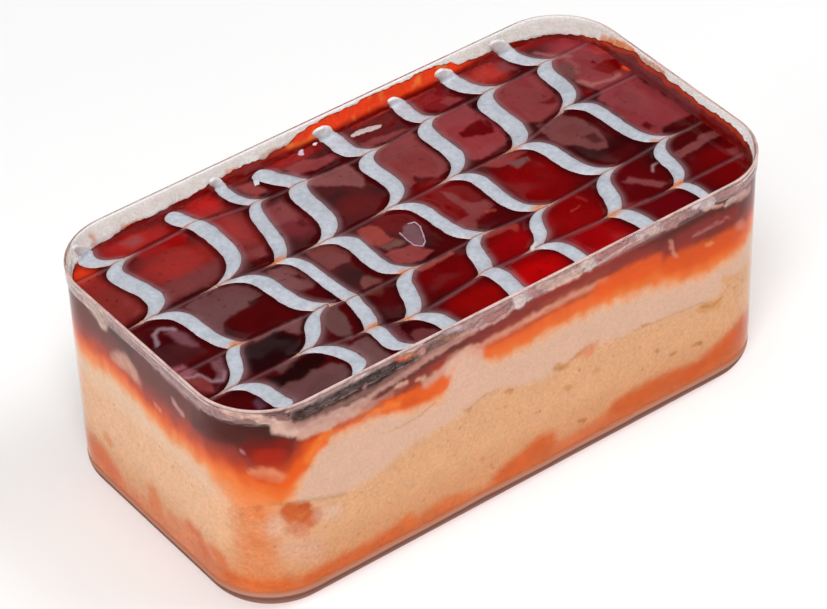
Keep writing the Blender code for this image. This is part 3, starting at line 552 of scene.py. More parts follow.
# Thin pale streaks in the caramel: points (x, y), half width, softness, colour, strength
SWIRLS = (
    (((-57.5, 1), (-56, 4), (-54.4, 4.4), (-52.4, 2.6)), 0.3, 0.5, "#947880", 0.8),
    (((-58.4, -9.6), (-56.6, -10.4), (-55.4, -13.6), (-53.6, -14.4), (-52.4, -12.4)), 0.2, 0.5,
     "#94747c", 0.8),
    (((50.6, 15.4), (52, 12.9), (55, 11.6), (58.4, 11.7)), 0.3, 0.7, "#a46460", 0.7),
    (((50.2, 27.6), (52.4, 24.6), (54.6, 22.6)), 0.3, 0.8, "#9c5c5c", 0.7),
    (((53.6, 22), (54, 19.6), (52.8, 17.4)), 0.3, 0.8, "#90504c", 0.6),
    (((46.6, -14.2), (44.8, -14.3), (43.6, -15.9)), 0.2, 0.4, "#a07c80", 0.85),
    (((12.2, -5.6), (13.6, -6.2)), 0.2, 0.5, "#a44438", 0.7),
    (((24.4, -15.6), (26.4, -15)), 0.1, 0.3, "#a83a2c", 0.7),
    (((27.8, -12.8), (28.4, -14.4)), 0.2, 0.4, "#942c2a", 0.6),
    (((33, -20.8), (37.4, -21.3)), 0.3, 0.5, "#8c2828", 0.8),
    (((60.8, 13), (61.2, 12)), 0.5, 0.5, "#ff5018", 0.9),
)

# --- Colours, as in the photo's screen values ---


def rgb(code):
    """A colour written as in the photo's screen values, made linear."""
    values = [int(code[i : i + 2], 16) / 255 for i in (1, 3, 5)]
    return np.array([v / 12.92 if v <= 0.04045 else ((v + 0.055) / 1.055) ** 2.4 for v in values])


# The cake at the wall, in front and on the left, the left painted lighter for the light there
CREAM, CREAM_LIT_LEFT = rgb("#d9ae94"), rgb("#e8be9e")
SPONGE, SPONGE_LIT_LEFT, SPONGE_LOW = rgb("#daa378"), rgb("#e8b48c"), rgb("#d09062")
SOAK, SOAK_LIT_LEFT, SOAK_DEEP = rgb("#ca6430"), rgb("#d8784a"), rgb("#c05420")
# painted shade in the cracks
CRACK_SHADE = rgb("#a8703c")
DARK = rgb("#30120e")
# The glaze, its painted glow at the wall, and the painted reflection and shadow by the lines
SURFACE_BASE, SURFACE_DARK = rgb("#440406"), rgb("#300205")
PAINTED_WALL_GLOW = rgb("#7c0c04")
PAINTED_REFLECTION, PAINTED_SHADOW = rgb("#866468"), rgb("#240406")
# The icing: its two edges, the right one darkened with painted shade, where it is thin, where a
# drag crosses it, its tips and their ends
ICING, ICING_LEFT, ICING_RIGHT_SHADE = rgb("#b0b4bd"), rgb("#bcaaa8"), rgb("#948a8e")
# painted light: the icing is painted lighter where it climbs the far wall
ICING_LIT_ON_WALL = rgb("#dcd8d8")
TAN, NOTCH, TIP, TRAIL_END = rgb("#b89080"), rgb("#946458"), rgb("#c0703c"), rgb("#6c2c2c")
BUBBLE_EDGE = rgb("#a88898")
# The caramel on the wall, its upper rim, and the milky skin that it has at the right end
FILM_RED, FILM_ORANGE, FILM_AMBER = rgb("#720805"), rgb("#e83a06"), rgb("#ec8a38")
FILM_RIM = rgb("#3a0a06")
FILM_SKIN, FILM_EDGE = rgb("#702c2e"), rgb("#c03812")
HAZE, HAZE_FAR = rgb("#d2a69f"), rgb("#e2d9d2")
# painted highlight: the pale line along the rim
RIM_HIGHLIGHT = rgb("#d8bab4")

# --- Meshes ---


def mesh_object(name, points, faces, looks, slots=None, tints=None, smooth_angle=35):
    """A mesh piece with smooth shading. slots are its faces' looks, tints its points' values."""
    mesh = bpy.data.meshes.new(name)
    mesh.from_pydata(np.asarray(points).tolist(), [], faces)
    for look in looks:
        mesh.materials.append(look)
    if slots is not None:
        mesh.polygons.foreach_set("material_index", np.asarray(slots, dtype=np.int32))
    for label, values in (tints or {}).items():
        values = np.asarray(values, dtype=np.float32)
        if values.ndim == 1:
            layer = mesh.attributes.new(label, "FLOAT", "POINT")
            layer.data.foreach_set("value", values)
        else:
            layer = mesh.attributes.new(label, "FLOAT_COLOR", "POINT")
            full = np.concatenate([values, np.ones((len(values), 1), np.float32)], axis=1)
            layer.data.foreach_set("color", full.ravel())
    bm = bmesh.new()
    bm.from_mesh(mesh)
    bmesh.ops.remove_doubles(bm, verts=bm.verts, dist=1e-6)
    bmesh.ops.recalc_face_normals(bm, faces=bm.faces)
    bm.to_mesh(mesh)
    bm.free()
    mesh.shade_smooth()
    mesh.set_sharp_from_angle(angle=math.radians(smooth_angle))
    return placed(name, mesh)


def placed(name, data):
    """An object in the scene with this mesh, light or camera."""
    made = bpy.data.objects.new(name, data)
    bpy.context.scene.collection.objects.link(made)
    return made


def grid_faces(rows, columns, start=0, closed=False):
    """Faces of a grid of points that are numbered row by row."""
    last = columns if closed else columns - 1
    faces = []
    for r in range(rows - 1):
        for c in range(last):
            a = start + r * columns + c
            b = start + r * columns + (c + 1) % columns
            faces.append((a, b, b + columns, a + columns))
    return faces


def fan_faces(first, count, centre):
    """Faces from a ring of points to a centre."""
    return [(first + i, first + (i + 1) % count, centre) for i in range(count)]


def bridge_faces(first, second, count):
    """Faces between two rings of points."""
    after = [(i + 1) % count for i in range(count)]
    return [(first + i, first + j, second + j, second + i) for i, j in enumerate(after)]


# --- Numbers and colours over places ---


def rough(a, b, length, seed):
    """Smooth noise between about -1 and 1 at the places (a, b)."""
    a, b = np.broadcast_arrays(a, b)
    places = zip(a.ravel() / length, b.ravel() / length)
    return np.array([noise.noise((u, v, 7.3 * seed)) for u, v in places]).reshape(a.shape)


def smooth_step(low, high, value):
    """Rises smoothly from 0 at low to 1 at high."""
    share = np.clip((value - low) / (high - low), 0, 1)
    return share * share * (3 - 2 * share)


def mixed(first, second, share):
    """Two colours mixed at each place, by the share of the second."""
    return first * (1 - share[..., None]) + second * share[..., None]


def ramp(knots, value):
    """Colours between the knots (place, colour)."""
    places = [place for place, _ in knots]
    colours = np.array([rgb(code) for _, code in knots])
    return np.stack([np.interp(value, places, colours[:, band]) for band in range(3)], axis=-1)


def along_wall(knots, t):
    """A value between the knots (t in mm, value) at the ways t."""
    ways, values = zip(*knots)
    return np.interp(t / MM, ways, values)


def along_path(knots, count):
    """X and Y of points that are spread along a path through the knots."""
    knots = np.array(knots)
    share = np.linspace(0, len(knots) - 1, count)
    return [np.interp(share, np.arange(len(knots)), knots[:, axis]) for axis in range(2)]


def to_polyline(x, y, points):
    """The distance from (x, y) to a line through the points."""
    nearest = np.full(x.shape, np.inf)
    for (x0, y0), (x1, y1) in zip(points, points[1:]):
        length = (x1 - x0) ** 2 + (y1 - y0) ** 2
        share = np.clip(((x - x0) * (x1 - x0) + (y - y0) * (y1 - y0)) / length, 0, 1)
        away = np.hypot(x - x0 - share * (x1 - x0), y - y0 - share * (y1 - y0))
        nearest = np.minimum(nearest, away)
    return nearest


def to_border(x, y, corners):
    """The distance from (x, y) to a patch's border, less than 0 inside it."""
    closed = list(corners) + [corners[0]]
    away = to_polyline(x, y, closed)
    inside = np.zeros(x.shape, dtype=bool)
    for (x0, y0), (x1, y1) in zip(closed, closed[1:]):
        if y0 == y1:
            continue
        crosses = (y0 > y) != (y1 > y)
        inside ^= crosses & (x < x0 + (y - y0) * (x1 - x0) / (y1 - y0))
    return np.where(inside, -away, away)


def stroke_share(x, y, points, half_width, soft):
    """How much of a stroke shows at (x, y)."""
    away = to_polyline(x, y, points)
    return 1 - smooth_step(half_width - soft / 2, half_width + soft, away)


# --- Places on the box ---


def once_round(t):
    """The same ways counted from the middle of the far wall, by the left, back to there."""
    return (np.asarray(t, dtype=float) + HALF_WAY) % (2 * HALF_WAY) - HALF_WAY


def outline(t, inset):
    """The place (x, y) on the box's outline, moved in by inset, at the way t."""
    t = once_round(t)
    way = np.abs(t)
    side = np.where(t < 0, -1.0, 1.0)
    radius = CORNER_RADIUS - inset
    near = np.clip((way - ARC_X) / CORNER_RADIUS, 0, math.pi / 2)
    far = np.clip((way - FAR_ARC) / CORNER_RADIUS, 0, math.pi / 2)
    angle = near + far
    along_near = np.minimum(way, ARC_X)
    along_far = np.maximum(way - FAR_ARC - ARC, 0)
    along_side = np.clip(way - ARC_X - ARC, 0, 2 * ARC_Y)
    x = along_near - along_far + radius * np.sin(angle)
    y = along_side - ARC_Y - radius * np.cos(angle)
    return x * side, y


def drafted(x, y, z):
    """The same place with the walls' draft at the height z."""
    narrower = DRAFT * (1 - z / BOX_HEIGHT)
    return x * (1 - 2 * narrower / BOX_LENGTH), y * (1 - 2 * narrower / BOX_WIDTH)


def on_wall(t, z, inset):
    """Points at the way t and height z, moved in by inset from the box's outline."""
    x, y = drafted(*outline(t, inset), z)
    return np.stack([x, y, np.broadcast_to(z, x.shape)], axis=-1)


def rows_between(first, last, count):
    """Rows of heights from the first row to the last."""
    share = np.linspace(0, 1, count)[:, None]
    return first * (1 - share) + last * share


def inner_inset(z):
    """How far in the inner wall stands at a height; it slopes out at the rim."""
    share = np.clip((z - RIM_SLOPE_FOOT) / (BOX_HEIGHT - RIM_SLOPE_FOOT), 0, 1)
    return INNER_WALL + (RIM_INSET - INNER_WALL) * share


def corner_angles():
    return np.linspace(0, math.pi / 2, CORNER_STEPS + 1)[1:]


def loop_ways():
    """Ways t once round the outline, which match the border of surface_places."""
    near = np.linspace(-ARC_X, ARC_X, SURFACE_COLUMNS + 1)
    corner = corner_angles() * CORNER_RADIUS
    straight = np.linspace(0, 2 * ARC_Y, SIDE_ROWS)[1:]
    right = np.concatenate([ARC_X + corner, ARC_X + ARC + straight, FAR_ARC + corner])
    far = right[-1] + (near - near[0])[1:]
    left = -right[::-1]
    return np.concatenate([near, right, far, left[1:]])


def surface_places(inset):
    """A grid of places (x, y) that fills the outline moved in by inset."""
    radius = CORNER_RADIUS - inset
    rise = ARC_Y + radius * np.sin(corner_angles())
    rows = np.concatenate([-rise[::-1], np.linspace(-ARC_Y, ARC_Y, SIDE_ROWS), rise])
    out = np.maximum(np.abs(rows) - ARC_Y, 0)
    half = ARC_X + np.sqrt(np.maximum(radius**2 - out**2, 0))
    share = np.linspace(-1, 1, SURFACE_COLUMNS + 1)
    x = half[:, None] * share[None, :]
    return x, np.broadcast_to(rows[:, None], x.shape)


def to_wall(x, y):
    """The distance from each place on the surface to the inner wall."""
    out_x = np.maximum(np.abs(x) - ARC_X, 0)
    out_y = np.maximum(np.abs(y) - ARC_Y, 0)
    radius = CORNER_RADIUS - INNER_WALL
    corner = radius - np.hypot(out_x, out_y)
    straight = np.minimum(ARC_X + radius - np.abs(x), ARC_Y + radius - np.abs(y))
    return np.where((out_x > 0) & (out_y > 0), corner, straight)


# --- The layers' edges ---


def through(knots, t):
    """The height of an edge that runs through the knots, at the ways t."""
    fine = np.arange(-HALF_WAY, HALF_WAY, EDGE_STEP * MM)
    ways, heights = np.array(knots, dtype=float).T * MM
    values = np.interp(fine, ways, heights, period=2 * HALF_WAY)
    reach = np.arange(-EDGE_REACH, EDGE_REACH + 1) * EDGE_STEP
    weights = np.exp(-0.5 * (reach / EDGE_SMOOTHING) ** 2)
    padded = np.concatenate([values[-EDGE_REACH:], values, values[:EDGE_REACH]])
    smooth = np.convolve(padded, weights / weights.sum(), mode="valid")
    return np.interp(once_round(t), fine, smooth, period=2 * HALF_WAY) - SEEN_DROP * MM


def edge(knots, t, seed, unrest):
    """An edge's height with an unevenness of this many mm."""
    fine = rough(t, 0, 2.3 * MM, seed) + 0.6 * rough(t, 0, 0.9 * MM, seed + 1)
    return through(knots, t) + unrest * MM * fine


def glaze_edge(t):
    return edge(GLAZE_EDGE, t, 21, 0.4)


def orange_edge(t):
    return edge(ORANGE_EDGE, t, 23, 0.7)


def sponge_edge(t):
    return edge(SPONGE_EDGE, t, 25, 0.5)


def soak_edge(t):
    return edge(SOAK_EDGE, t, 27, 0.7)


def cling_edge(t):
    return edge(CLING_EDGE, t, 41, 0.45) + SEEN_DROP * MM


def crack_share(t, z):
    """How deep the cracks are at (t, z) in mm, from 0 to 1."""
    deepest = np.zeros(t.shape)
    for number, (points, width) in enumerate(CRACKS):
        away = to_polyline(t, z, points)
        broken = 1 + 0.7 * rough(t, z, 1.6, 90 + number)
        deepest = np.maximum(deepest, np.exp(-((away / width) ** 2)) * broken.clip(0, 1))
    return deepest


# --- The feathered lines' course, in mm ---


def line_cuts(line):
    """The Y of a line's far end, drags and near end."""
    return [line.far] + [at_y for at_y, _ in line.drags] + [line.near]


def line_middle(line, y):
    """The X of a line's middle at y."""
    cuts = line_cuts(line)
    x = np.zeros_like(y)
    for number, (far_x, near_x, _) in enumerate(line.stretches):
        far, near = cuts[number], cuts[number + 1]
        share = np.clip((far - y) / (far - near), 0, 1)
        part = far_x + (near_x - far_x) * share
        if number < len(line.drags):
            pull = line.drags[number][1] - near_x
            part += pull * np.exp(-np.maximum(y - near, 0) / FAR_REACH)
        if number > 0:
            pull = line.drags[number - 1][1] - far_x
            part += pull * np.exp(-np.maximum(far - y, 0) / NEAR_REACH)
        x = part if number == 0 else np.where(y <= far, part, x)
    x += line.far_curl * np.exp(-np.maximum(line.far - y, 0) / CURL_REACH)
    x += line.near_curl * np.exp(-np.maximum(y - line.near, 0) / CURL_REACH)
    x += CLIMB_LEAN * np.maximum(y - line.far, 0)
    return x + 0.08 * rough(y, 0, 2.0, 40 + line.near_curl + line.drags[0][0])


def line_half_width(line, y):
    """Half of a line's width along X at y, which rounds off at its ends."""
    cuts = line_cuts(line)
    middles = [(a + b) / 2 for a, b in zip(cuts, cuts[1:])]
    widths = [width for _, _, width in line.stretches]
    width = np.interp(y, middles[::-1], widths[::-1])
    to_end = np.minimum(y - line.near, line.far + line.climb - y)
    share = np.clip(to_end / END_TAPER, 0, 1)
    uneven = 1 + 0.1 * rough(y, 0, 1.8, 60 + line.drags[0][0])
    half = 0.5 * width * uneven + LINE_SPREAD
    return half * np.sqrt(1 - (1 - share) ** 2 + 1e-4)


def line_stations(line):
    """The Y of a line's cross-sections, close together near the drags and the ends."""
    end = line.far + line.climb
    places = [np.arange(line.near, end, LINE_STEP), [end]]
    for at_y, _ in line.drags:
        places.append(np.arange(at_y - DRAG_ZONE, at_y + DRAG_ZONE, DRAG_STEP))
    close = np.array([0.02, 0.06, 0.12, 0.2])
    places += [line.near + close, end - close]
    ys = np.unique(np.concatenate(places).round(3))
    return ys[(ys >= line.near) & (ys <= end)]


def to_lines(x, y):
    """The distance from each place to the nearest line's edge, and on which side it is."""
    nearest = np.full(x.shape, np.inf)
    side = np.zeros(x.shape)
    for line in LINES:
        inside_y = np.clip(y, line.near, line.far)
        middle = line_middle(line, inside_y)
        slope = (line_middle(line, inside_y + 0.05) - line_middle(line, inside_y - 0.05)) / 0.1
        half = line_half_width(line, inside_y)
        across = (np.abs(x - middle) - half) / np.sqrt(1 + slope**2)
        away = np.hypot(np.maximum(across, 0), y - inside_y)
        away = np.where(y == inside_y, across, away)
        side = np.where(away < nearest, np.sign(x - middle), side)
        nearest = np.minimum(nearest, away)
    return nearest, side


def drag_paths():
    """For each of the four drags, the X and Y of the cusps that it draws out."""
    return [np.array([line.drags[number][::-1] for line in LINES]).T for number in range(4)]


# --- The caramel's surface ---


def bare_surface(x, y):
    """The caramel's height without what the lines do to it."""
    slow = rough(x, y, SWELL_LENGTH, 11) + 0.5 * rough(x, y, SWELL_LENGTH / 2.3, 12)
    fast = rough(x, y, WRINKLE_LENGTH, 13)
    wall = np.maximum(to_wall(x, y), 0)
    ragged = 1 + 0.8 * rough(x, y, 2.2 * MM, 14) + 0.5 * rough(x, y, 0.9 * MM, 15)
    climb = MENISCUS_RISE * ragged * np.exp(-wall / MENISCUS_REACH)
    return SURFACE_LEVEL + SWELL_RISE * slow + WRINKLE_RISE * fast + climb


def surface_height(x, y):
    """The caramel's height, with furrows along the drags and a meniscus at the lines."""
    height = bare_surface(x, y)
    for path_x, path_y in drag_paths():
        away = (y / MM - np.interp(x / MM, path_x, path_y)) / FURROW_REACH
        height -= FURROW_DEPTH * np.exp(-(away**2))
    near = np.maximum(to_lines(x / MM, y / MM)[0], 0) * MM
    return height + LINE_MENISCUS * np.exp(-near / LINE_MENISCUS_REACH)


def surface_edge(t):
    """The height of the caramel's surface at the wall."""
    return surface_height(*drafted(*outline(t, FILL_INSET), SURFACE_LEVEL))


# --- Colours of the pieces' points ---


def warped(t, z):
    """The places (t, z) in mm, moved a little so that what is painted there gets ragged edges."""
    u = t + 0.6 * rough(t, z, 1.5, 81) + 0.3 * rough(t, z, 0.6, 82)
    v = z + 0.45 * rough(t, z, 1.5, 83) + 0.25 * rough(t, z, 0.6, 84)
    return u, v


def with_strokes(colour, t, z):
    """A colour with the strokes laid over it at (t, z) in mm, and how much they cover."""
    u, v = warped(t, z)
    streaks = 1 + 0.3 * rough(0.4 * u, v, 0.7, 85)
    cover = np.zeros(t.shape)
    for points, half_width, soft, code, strength in STROKES:
        share = (strength * stroke_share(u, v, points, half_width, soft) * streaks).clip(0, 1)
        colour = mixed(colour, rgb(code), share)
        cover = np.maximum(cover, share)
    return colour, cover


def crumb_colour(t, z, left):
    """The sponge, and the cream above it."""
    # painted light: the left wall's cream and sponge are painted lighter
    cream = mixed(CREAM, CREAM_LIT_LEFT, left)
    crumb = mixed(SPONGE, SPONGE_LIT_LEFT, left)
    blurred = (1.5 + 0.8 * left) * MM
    return mixed(crumb, cream, smooth_step(-blurred, blurred, z - sponge_edge(t)))


def with_caramel(colour, t, z, left):
    """A colour with the caramel's band over it, orange below and dark above."""
    glaze, orange = glaze_edge(t), orange_edge(t)
    band = np.maximum(glaze - orange, 0.8 * MM)
    mottled = 0.12 * rough(t, z, 3 * MM, 29) + 0.07 * rough(t, z, 1.2 * MM, 28)
    height = (z - orange) / band + mottled
    height = np.where(glaze - orange < 2 * MM, np.maximum(height, (z - glaze) / MM + 1), height)
    shades = mixed(ramp(BAND_FRONT, height), ramp(BAND_LEFT, height), left)
    colour = mixed(colour, shades, smooth_step(-0.35, 0.0, height))
    return mixed(colour, DARK, along_wall(DARK_BAND, t) * smooth_step(0.95, 1.4, height))


def with_syrup(colour, t, z, left):
    """A colour with the syrup over it that soaks the cake from below."""
    colour = mixed(colour, SPONGE_LOW, 0.8 * smooth_step(18 * MM, 8 * MM, z))
    below = soak_edge(t) - z + 0.7 * MM * rough(t, z, 2.4 * MM, 30)
    # painted light: the left wall's syrup is painted lighter
    soaked = mixed(SOAK, SOAK_LIT_LEFT, left)
    colour = mixed(colour, soaked, smooth_step(-2.2 * MM, 1.6 * MM, below) * 0.8)
    deep = smooth_step(0.6 * MM, 3.2 * MM, below) * (0.5 - 0.35 * left)
    return mixed(colour, SOAK_DEEP, deep)


def side_colour(t, z):
    """The cake's colour where it meets the wall."""
    t = once_round(t)
    left = smooth_step(-50 * MM, -76 * MM, t) * smooth_step(-HALF_WAY, -145 * MM, t)
    colour = with_caramel(crumb_colour(t, z, left), t, z, left)
    colour = with_syrup(colour, t, z, left)
    seen = (t / MM, z / MM + SEEN_DROP)
    colour, _ = with_strokes(colour, *seen)
    # painted shade in the cracks, which are also pressed in
    return mixed(colour, CRACK_SHADE, 0.4 * crack_share(*seen))


def glaze_base(x, y):
    """The glaze's dark blotches and its reds."""
    blotch = rough(x, y, 9 * MM, 33) + 0.5 * rough(x, y, 3.5 * MM, 34)
    colour = mixed(SURFACE_BASE, SURFACE_DARK, smooth_step(0.0, 0.5, blotch))
    u = x / MM + 1.2 * rough(x, y, 5 * MM, 31)
    v = y / MM + 1.2 * rough(x, y, 5 * MM, 32)
    for at_x, at_y, reach_x, reach_y, code, strength in REDS:
        away = ((u - at_x) / reach_x) ** 2 + ((v - at_y) / reach_y) ** 2
        colour = mixed(colour, rgb(code), strength * np.exp(-(away**2)))
    return colour


def with_reflections_and_swirls(colour, x, y):
    """A colour with the glaze's painted reflections and painted shade, and its swirls, over it."""
    u = x / MM + 0.5 * rough(x, y, 2.4 * MM, 36) + 0.25 * rough(x, y, 0.9 * MM, 37)
    v = y / MM + 0.5 * rough(x, y, 2.0 * MM, 38) + 0.25 * rough(x, y, 0.9 * MM, 39)
    # patches of painted reflection and painted shade
    for corners, soft, code in REFLECTION_AND_SHADE_PATCHES:
        share = smooth_step(soft, -soft, to_border(u, v, corners))
        colour = mixed(colour, rgb(code), share)
    for points, half_width, soft, code, strength in SWIRLS:
        share = strength * stroke_share(u, v, points, half_width, soft)
        colour = mixed(colour, rgb(code), share)
    return colour


def with_line_reflections_and_shadows(colour, x, y):
    """A colour with the painted reflections and shadows by the lines and along the drags, in mm."""
    away, side = to_lines(x, y)
    near = np.exp(-((np.maximum(away, 0) / HALO_REACH) ** 2))
    # painted reflection on the meniscus right of a line, painted shadow on its left
    colour = mixed(colour, PAINTED_REFLECTION, 0.6 * near * (side > 0))
    colour = mixed(colour, PAINTED_SHADOW, 0.6 * near * (side < 0))
    for path_x, path_y in drag_paths():
        below = y - np.interp(x, path_x, path_y)
        # painted shadow and painted highlight along each drag's furrow
        colour = mixed(colour, PAINTED_SHADOW, 0.55 * np.exp(-(((below - 0.35) / 0.3) ** 2)))
        colour = mixed(colour, PAINTED_REFLECTION, 0.35 * np.exp(-(((below + 0.3) / 0.35) ** 2)))
    return colour


def surface_colour(x, y):
    """The caramel's colour from above, with painted reflections and painted shade. A painted red
    glow lies at the wall, from light through the thin caramel, but not at its near left and hardly
    at its right end."""
    colour = with_reflections_and_swirls(glaze_base(x, y), x, y)
    colour = with_line_reflections_and_shadows(colour, x / MM, y / MM)
    near_left = smooth_step(-24, -28, y / MM) * smooth_step(-14, -22, x / MM)
    right_end = smooth_step(56, 59, x / MM) * smooth_step(-10, -6, y / MM)
    ragged = 0.5 + 0.5 * rough(x, y, 2.5 * MM, 35)
    # painted glow of light shining through the thin caramel at the wall
    glow = 0.8 * ragged * (1 - near_left) * (1 - 0.9 * right_end)
    wall = np.maximum(to_wall(x, y), 0) / MM
    return mixed(colour, PAINTED_WALL_GLOW, glow * np.exp(-((wall / 1.2) ** 2)))


def orange_share(x, y):
    """How orange the icing is at (x, y) in mm."""
    share = np.zeros(x.shape)
    for at_x, at_y, reach in ORANGE_TIPS:
        away = ((x - at_x) / reach) ** 2 + ((y - at_y) / 0.7) ** 2
        share = np.maximum(share, np.exp(-away))
    return share


def icing_colour(x, y, across, thin, gap, up):
    """A line's colour at (x, y) in mm, with painted shade on its right edge and painted light where
    it climbs the wall. across runs from -1 to 1, gap is the way to the nearest drag, and up is how
    far the line has climbed the wall."""
    outer = np.abs(across) ** 5 * np.ones_like(x)
    stained = np.exp(-((gap / STAIN_REACH) ** 2)) * np.abs(across) ** 1.5
    notch = np.exp(-((gap / NOTCH_REACH) ** 2)) * np.ones_like(x)
    colour = mixed(ICING, ICING_LEFT, 0.7 * outer * (across < 0))
    # painted shade along the line's right edge
    colour = mixed(colour, ICING_RIGHT_SHADE, 0.7 * outer * (across > 0))
    colour = mixed(colour, TAN, thin * (0.75 + 0.25 * rough(x, y, 0.8, 50)))
    colour = mixed(colour, TAN, 0.75 * stained)
    colour = mixed(colour, NOTCH, 0.8 * notch)
    colour = mixed(colour, TIP, orange_share(x, y))
    # painted light where the line climbs the wall
    return mixed(colour, ICING_LIT_ON_WALL, smooth_step(0.4, 1.6, up))


def inside_share(t):
    """0 where the wall is seen from outside, 1 where its inner face is seen."""
    ends = smooth_step(100 * MM, 120 * MM, np.abs(t)) + smooth_step(60 * MM, 70 * MM, t)
    return ends.clip(0, 1)


def right_end_colour(t, z, below_top):
    """The caramel that clings to the right end: milky, with an orange upper edge."""
    way = t / MM + 2 * rough(t, z, 2 * MM, 47)
    skin = smooth_step(80, 83, way) * smooth_step(110, 104, way)
    edged = smooth_step(1.3, 0.5, below_top / MM + 0.4 * rough(t, z, 1.6 * MM, 48))
    return mixed(mixed(FILM_RED, FILM_SKIN, 0.9 * skin), FILM_EDGE, 0.75 * edged)


def cling_colour(t, z):
    """The caramel that clings to the wall: red, orange where it is thin, with a dark upper rim."""
    below_top = cling_edge(t) - z
    above = (z - SURFACE_LEVEL) / MM
    u, v = warped(t / MM, z / MM)
    orange = along_wall(CLING_ORANGE, t)
    colour = mixed(FILM_RED, FILM_ORANGE, orange * smooth_step(0.6, 2.2, above))
    amber = 0.6 * smooth_step(0.2, 0.6, rough(u, v, 2.2, 42)) * orange
    colour = mixed(colour, FILM_AMBER, amber * smooth_step(0.8, 2.0, above))
    at_end = smooth_step(58, 64, t / MM) * smooth_step(118, 110, t / MM)
    colour = mixed(colour, right_end_colour(t, z, below_top), at_end)
    rim = smooth_step(0.35 * MM, 0.08 * MM, below_top)
    broken = smooth_step(-0.4, 0.2, rough(t, z, 1.1 * MM, 43))
    colour = mixed(colour, FILM_RIM, 0.85 * rim * broken)
    return mixed(side_colour(t, z), colour, inside_share(t)), np.ones_like(z)


def film_colour(t, z):
    """The milky film and smears between the caramel and the rim."""
    inside = inside_share(t)
    cloudy = 1 + 0.35 * rough(t, z, 3 * MM, 44) + 0.25 * rough(t, z, 1.1 * MM, 45)
    haze = along_wall(HAZE_COVER, t) * cloudy
    colour = mixed(HAZE, HAZE_FAR, inside)
    colour, strokes = with_strokes(colour, t / MM, z / MM + SEEN_DROP * (1 - inside))
    cover = np.maximum(haze, strokes)
    cover = cover * np.maximum(inside, smooth_step(CLEAR_RIM + 0.2 * MM, CLEAR_RIM, z))
    return colour, cover.clip(0, 1)


# --- Materials ---


class Look:
    """A material in the making, with short ways to add nodes to it."""

    def __init__(self, name):
        self.made = bpy.data.materials.new(name)
        self.made.use_nodes = True
        self.nodes = self.made.node_tree.nodes
        self.shader = self.nodes["Principled BSDF"]
        self.place = self.add("ShaderNodeTexCoord").outputs["Object"]

    def fill(self, socket, value):
        """Links an output to a socket, or sets a number or colour on it."""
        if isinstance(value, bpy.types.NodeSocket):
            self.made.node_tree.links.new(value, socket)
        else:
            socket.default_value = value

    def add(self, kind, *values, settings=(), **named):
        """A node with its settings, its first inputs and its named inputs."""
        node = self.nodes.new(kind)
        for key, value in dict(settings).items():
            setattr(node, key, value)
        for key, value in [*enumerate(values), *named.items()]:
            self.fill(node.inputs[key], value)
        return node

    def set(self, name, value):
        """Sets or links an input of the look's own shader."""
        self.fill(self.shader.inputs[name], value)

    def noise(self, scale, detail=3.0, roughness=0.55, distortion=0.0):
        inputs = {"Scale": scale, "Detail": detail, "Roughness": roughness}
        inputs |= {"Vector": self.place, "Distortion": distortion}
        return self.add("ShaderNodeTexNoise", **inputs).outputs["Fac"]

    def attribute(self, name, output):
        """A value that the piece's points hold."""
        settings = {"attribute_name": name}
        return self.add("ShaderNodeAttribute", settings=settings).outputs[output]

    def ranged(self, value, low, high, to_low, to_high):
        """A value mapped from one range to another, held inside it."""
        return self.add("ShaderNodeMapRange", value, low, high, to_low, to_high).outputs[0]

    def math(self, operation, first, second, held=False):
        settings = {"operation": operation, "use_clamp": held}
        return self.add("ShaderNodeMath", first, second, settings=settings).outputs[0]

    def mixed(self, share, first, second, blend="MIX"):
        """Two colours mixed."""
        node = self.add("ShaderNodeMix", settings={"data_type": "RGBA", "blend_type": blend})
        for socket, value in ((0, share), (6, first), (7, second)):
            self.fill(node.inputs[socket], value)
        return node.outputs[2]

    def mottled(self, colour, pattern, low, high):
        """A colour that a noise makes darker and lighter, from low to high."""
        return self.mixed(1.0, colour, self.ranged(pattern, 0.3, 0.7, low, high), "MULTIPLY")

    def laid(self, share, under, over):
        """One shader laid on another."""
        return self.add("ShaderNodeMixShader", share, under, over).outputs[0]

    def bump(self, height, strength, distance):
        node = self.add("ShaderNodeBump", Height=height, Strength=strength, Distance=distance)
        self.set("Normal", node.outputs["Normal"])


def fill_ramp(node, stops):
    """Gives a colour ramp its stops (place, colour)."""
    made = node.color_ramp.elements
    made[0].position, made[1].position = stops[0][0], stops[-1][0]
    for place, _ in stops[1:-1]:
        made.new(place)
    for stop, (_, colour) in zip(made, stops):
        stop.color = (*colour, 1)


def rim_highlight_band(look, split, shader):
    """A painted highlight on a shader: a pale band along the rim's near and end sides."""
    high = look.ranged(split.outputs["Z"], 48.55 * MM, 48.75 * MM, 0, 1)
    near = look.ranged(split.outputs["Y"], 20 * MM, 29 * MM, 1, 0.25)
    patchy = look.ranged(look.noise(260, 3, 0.6), 0.35, 0.6, 0.35, 0.8)
    share = look.math("MULTIPLY", look.math("MULTIPLY", high, near), patchy)
    # painted highlight, as a pale diffuse band
    milky = look.add("ShaderNodeBsdfDiffuse", (*RIM_HIGHLIGHT, 1)).outputs[0]
    return look.laid(share, shader, milky)


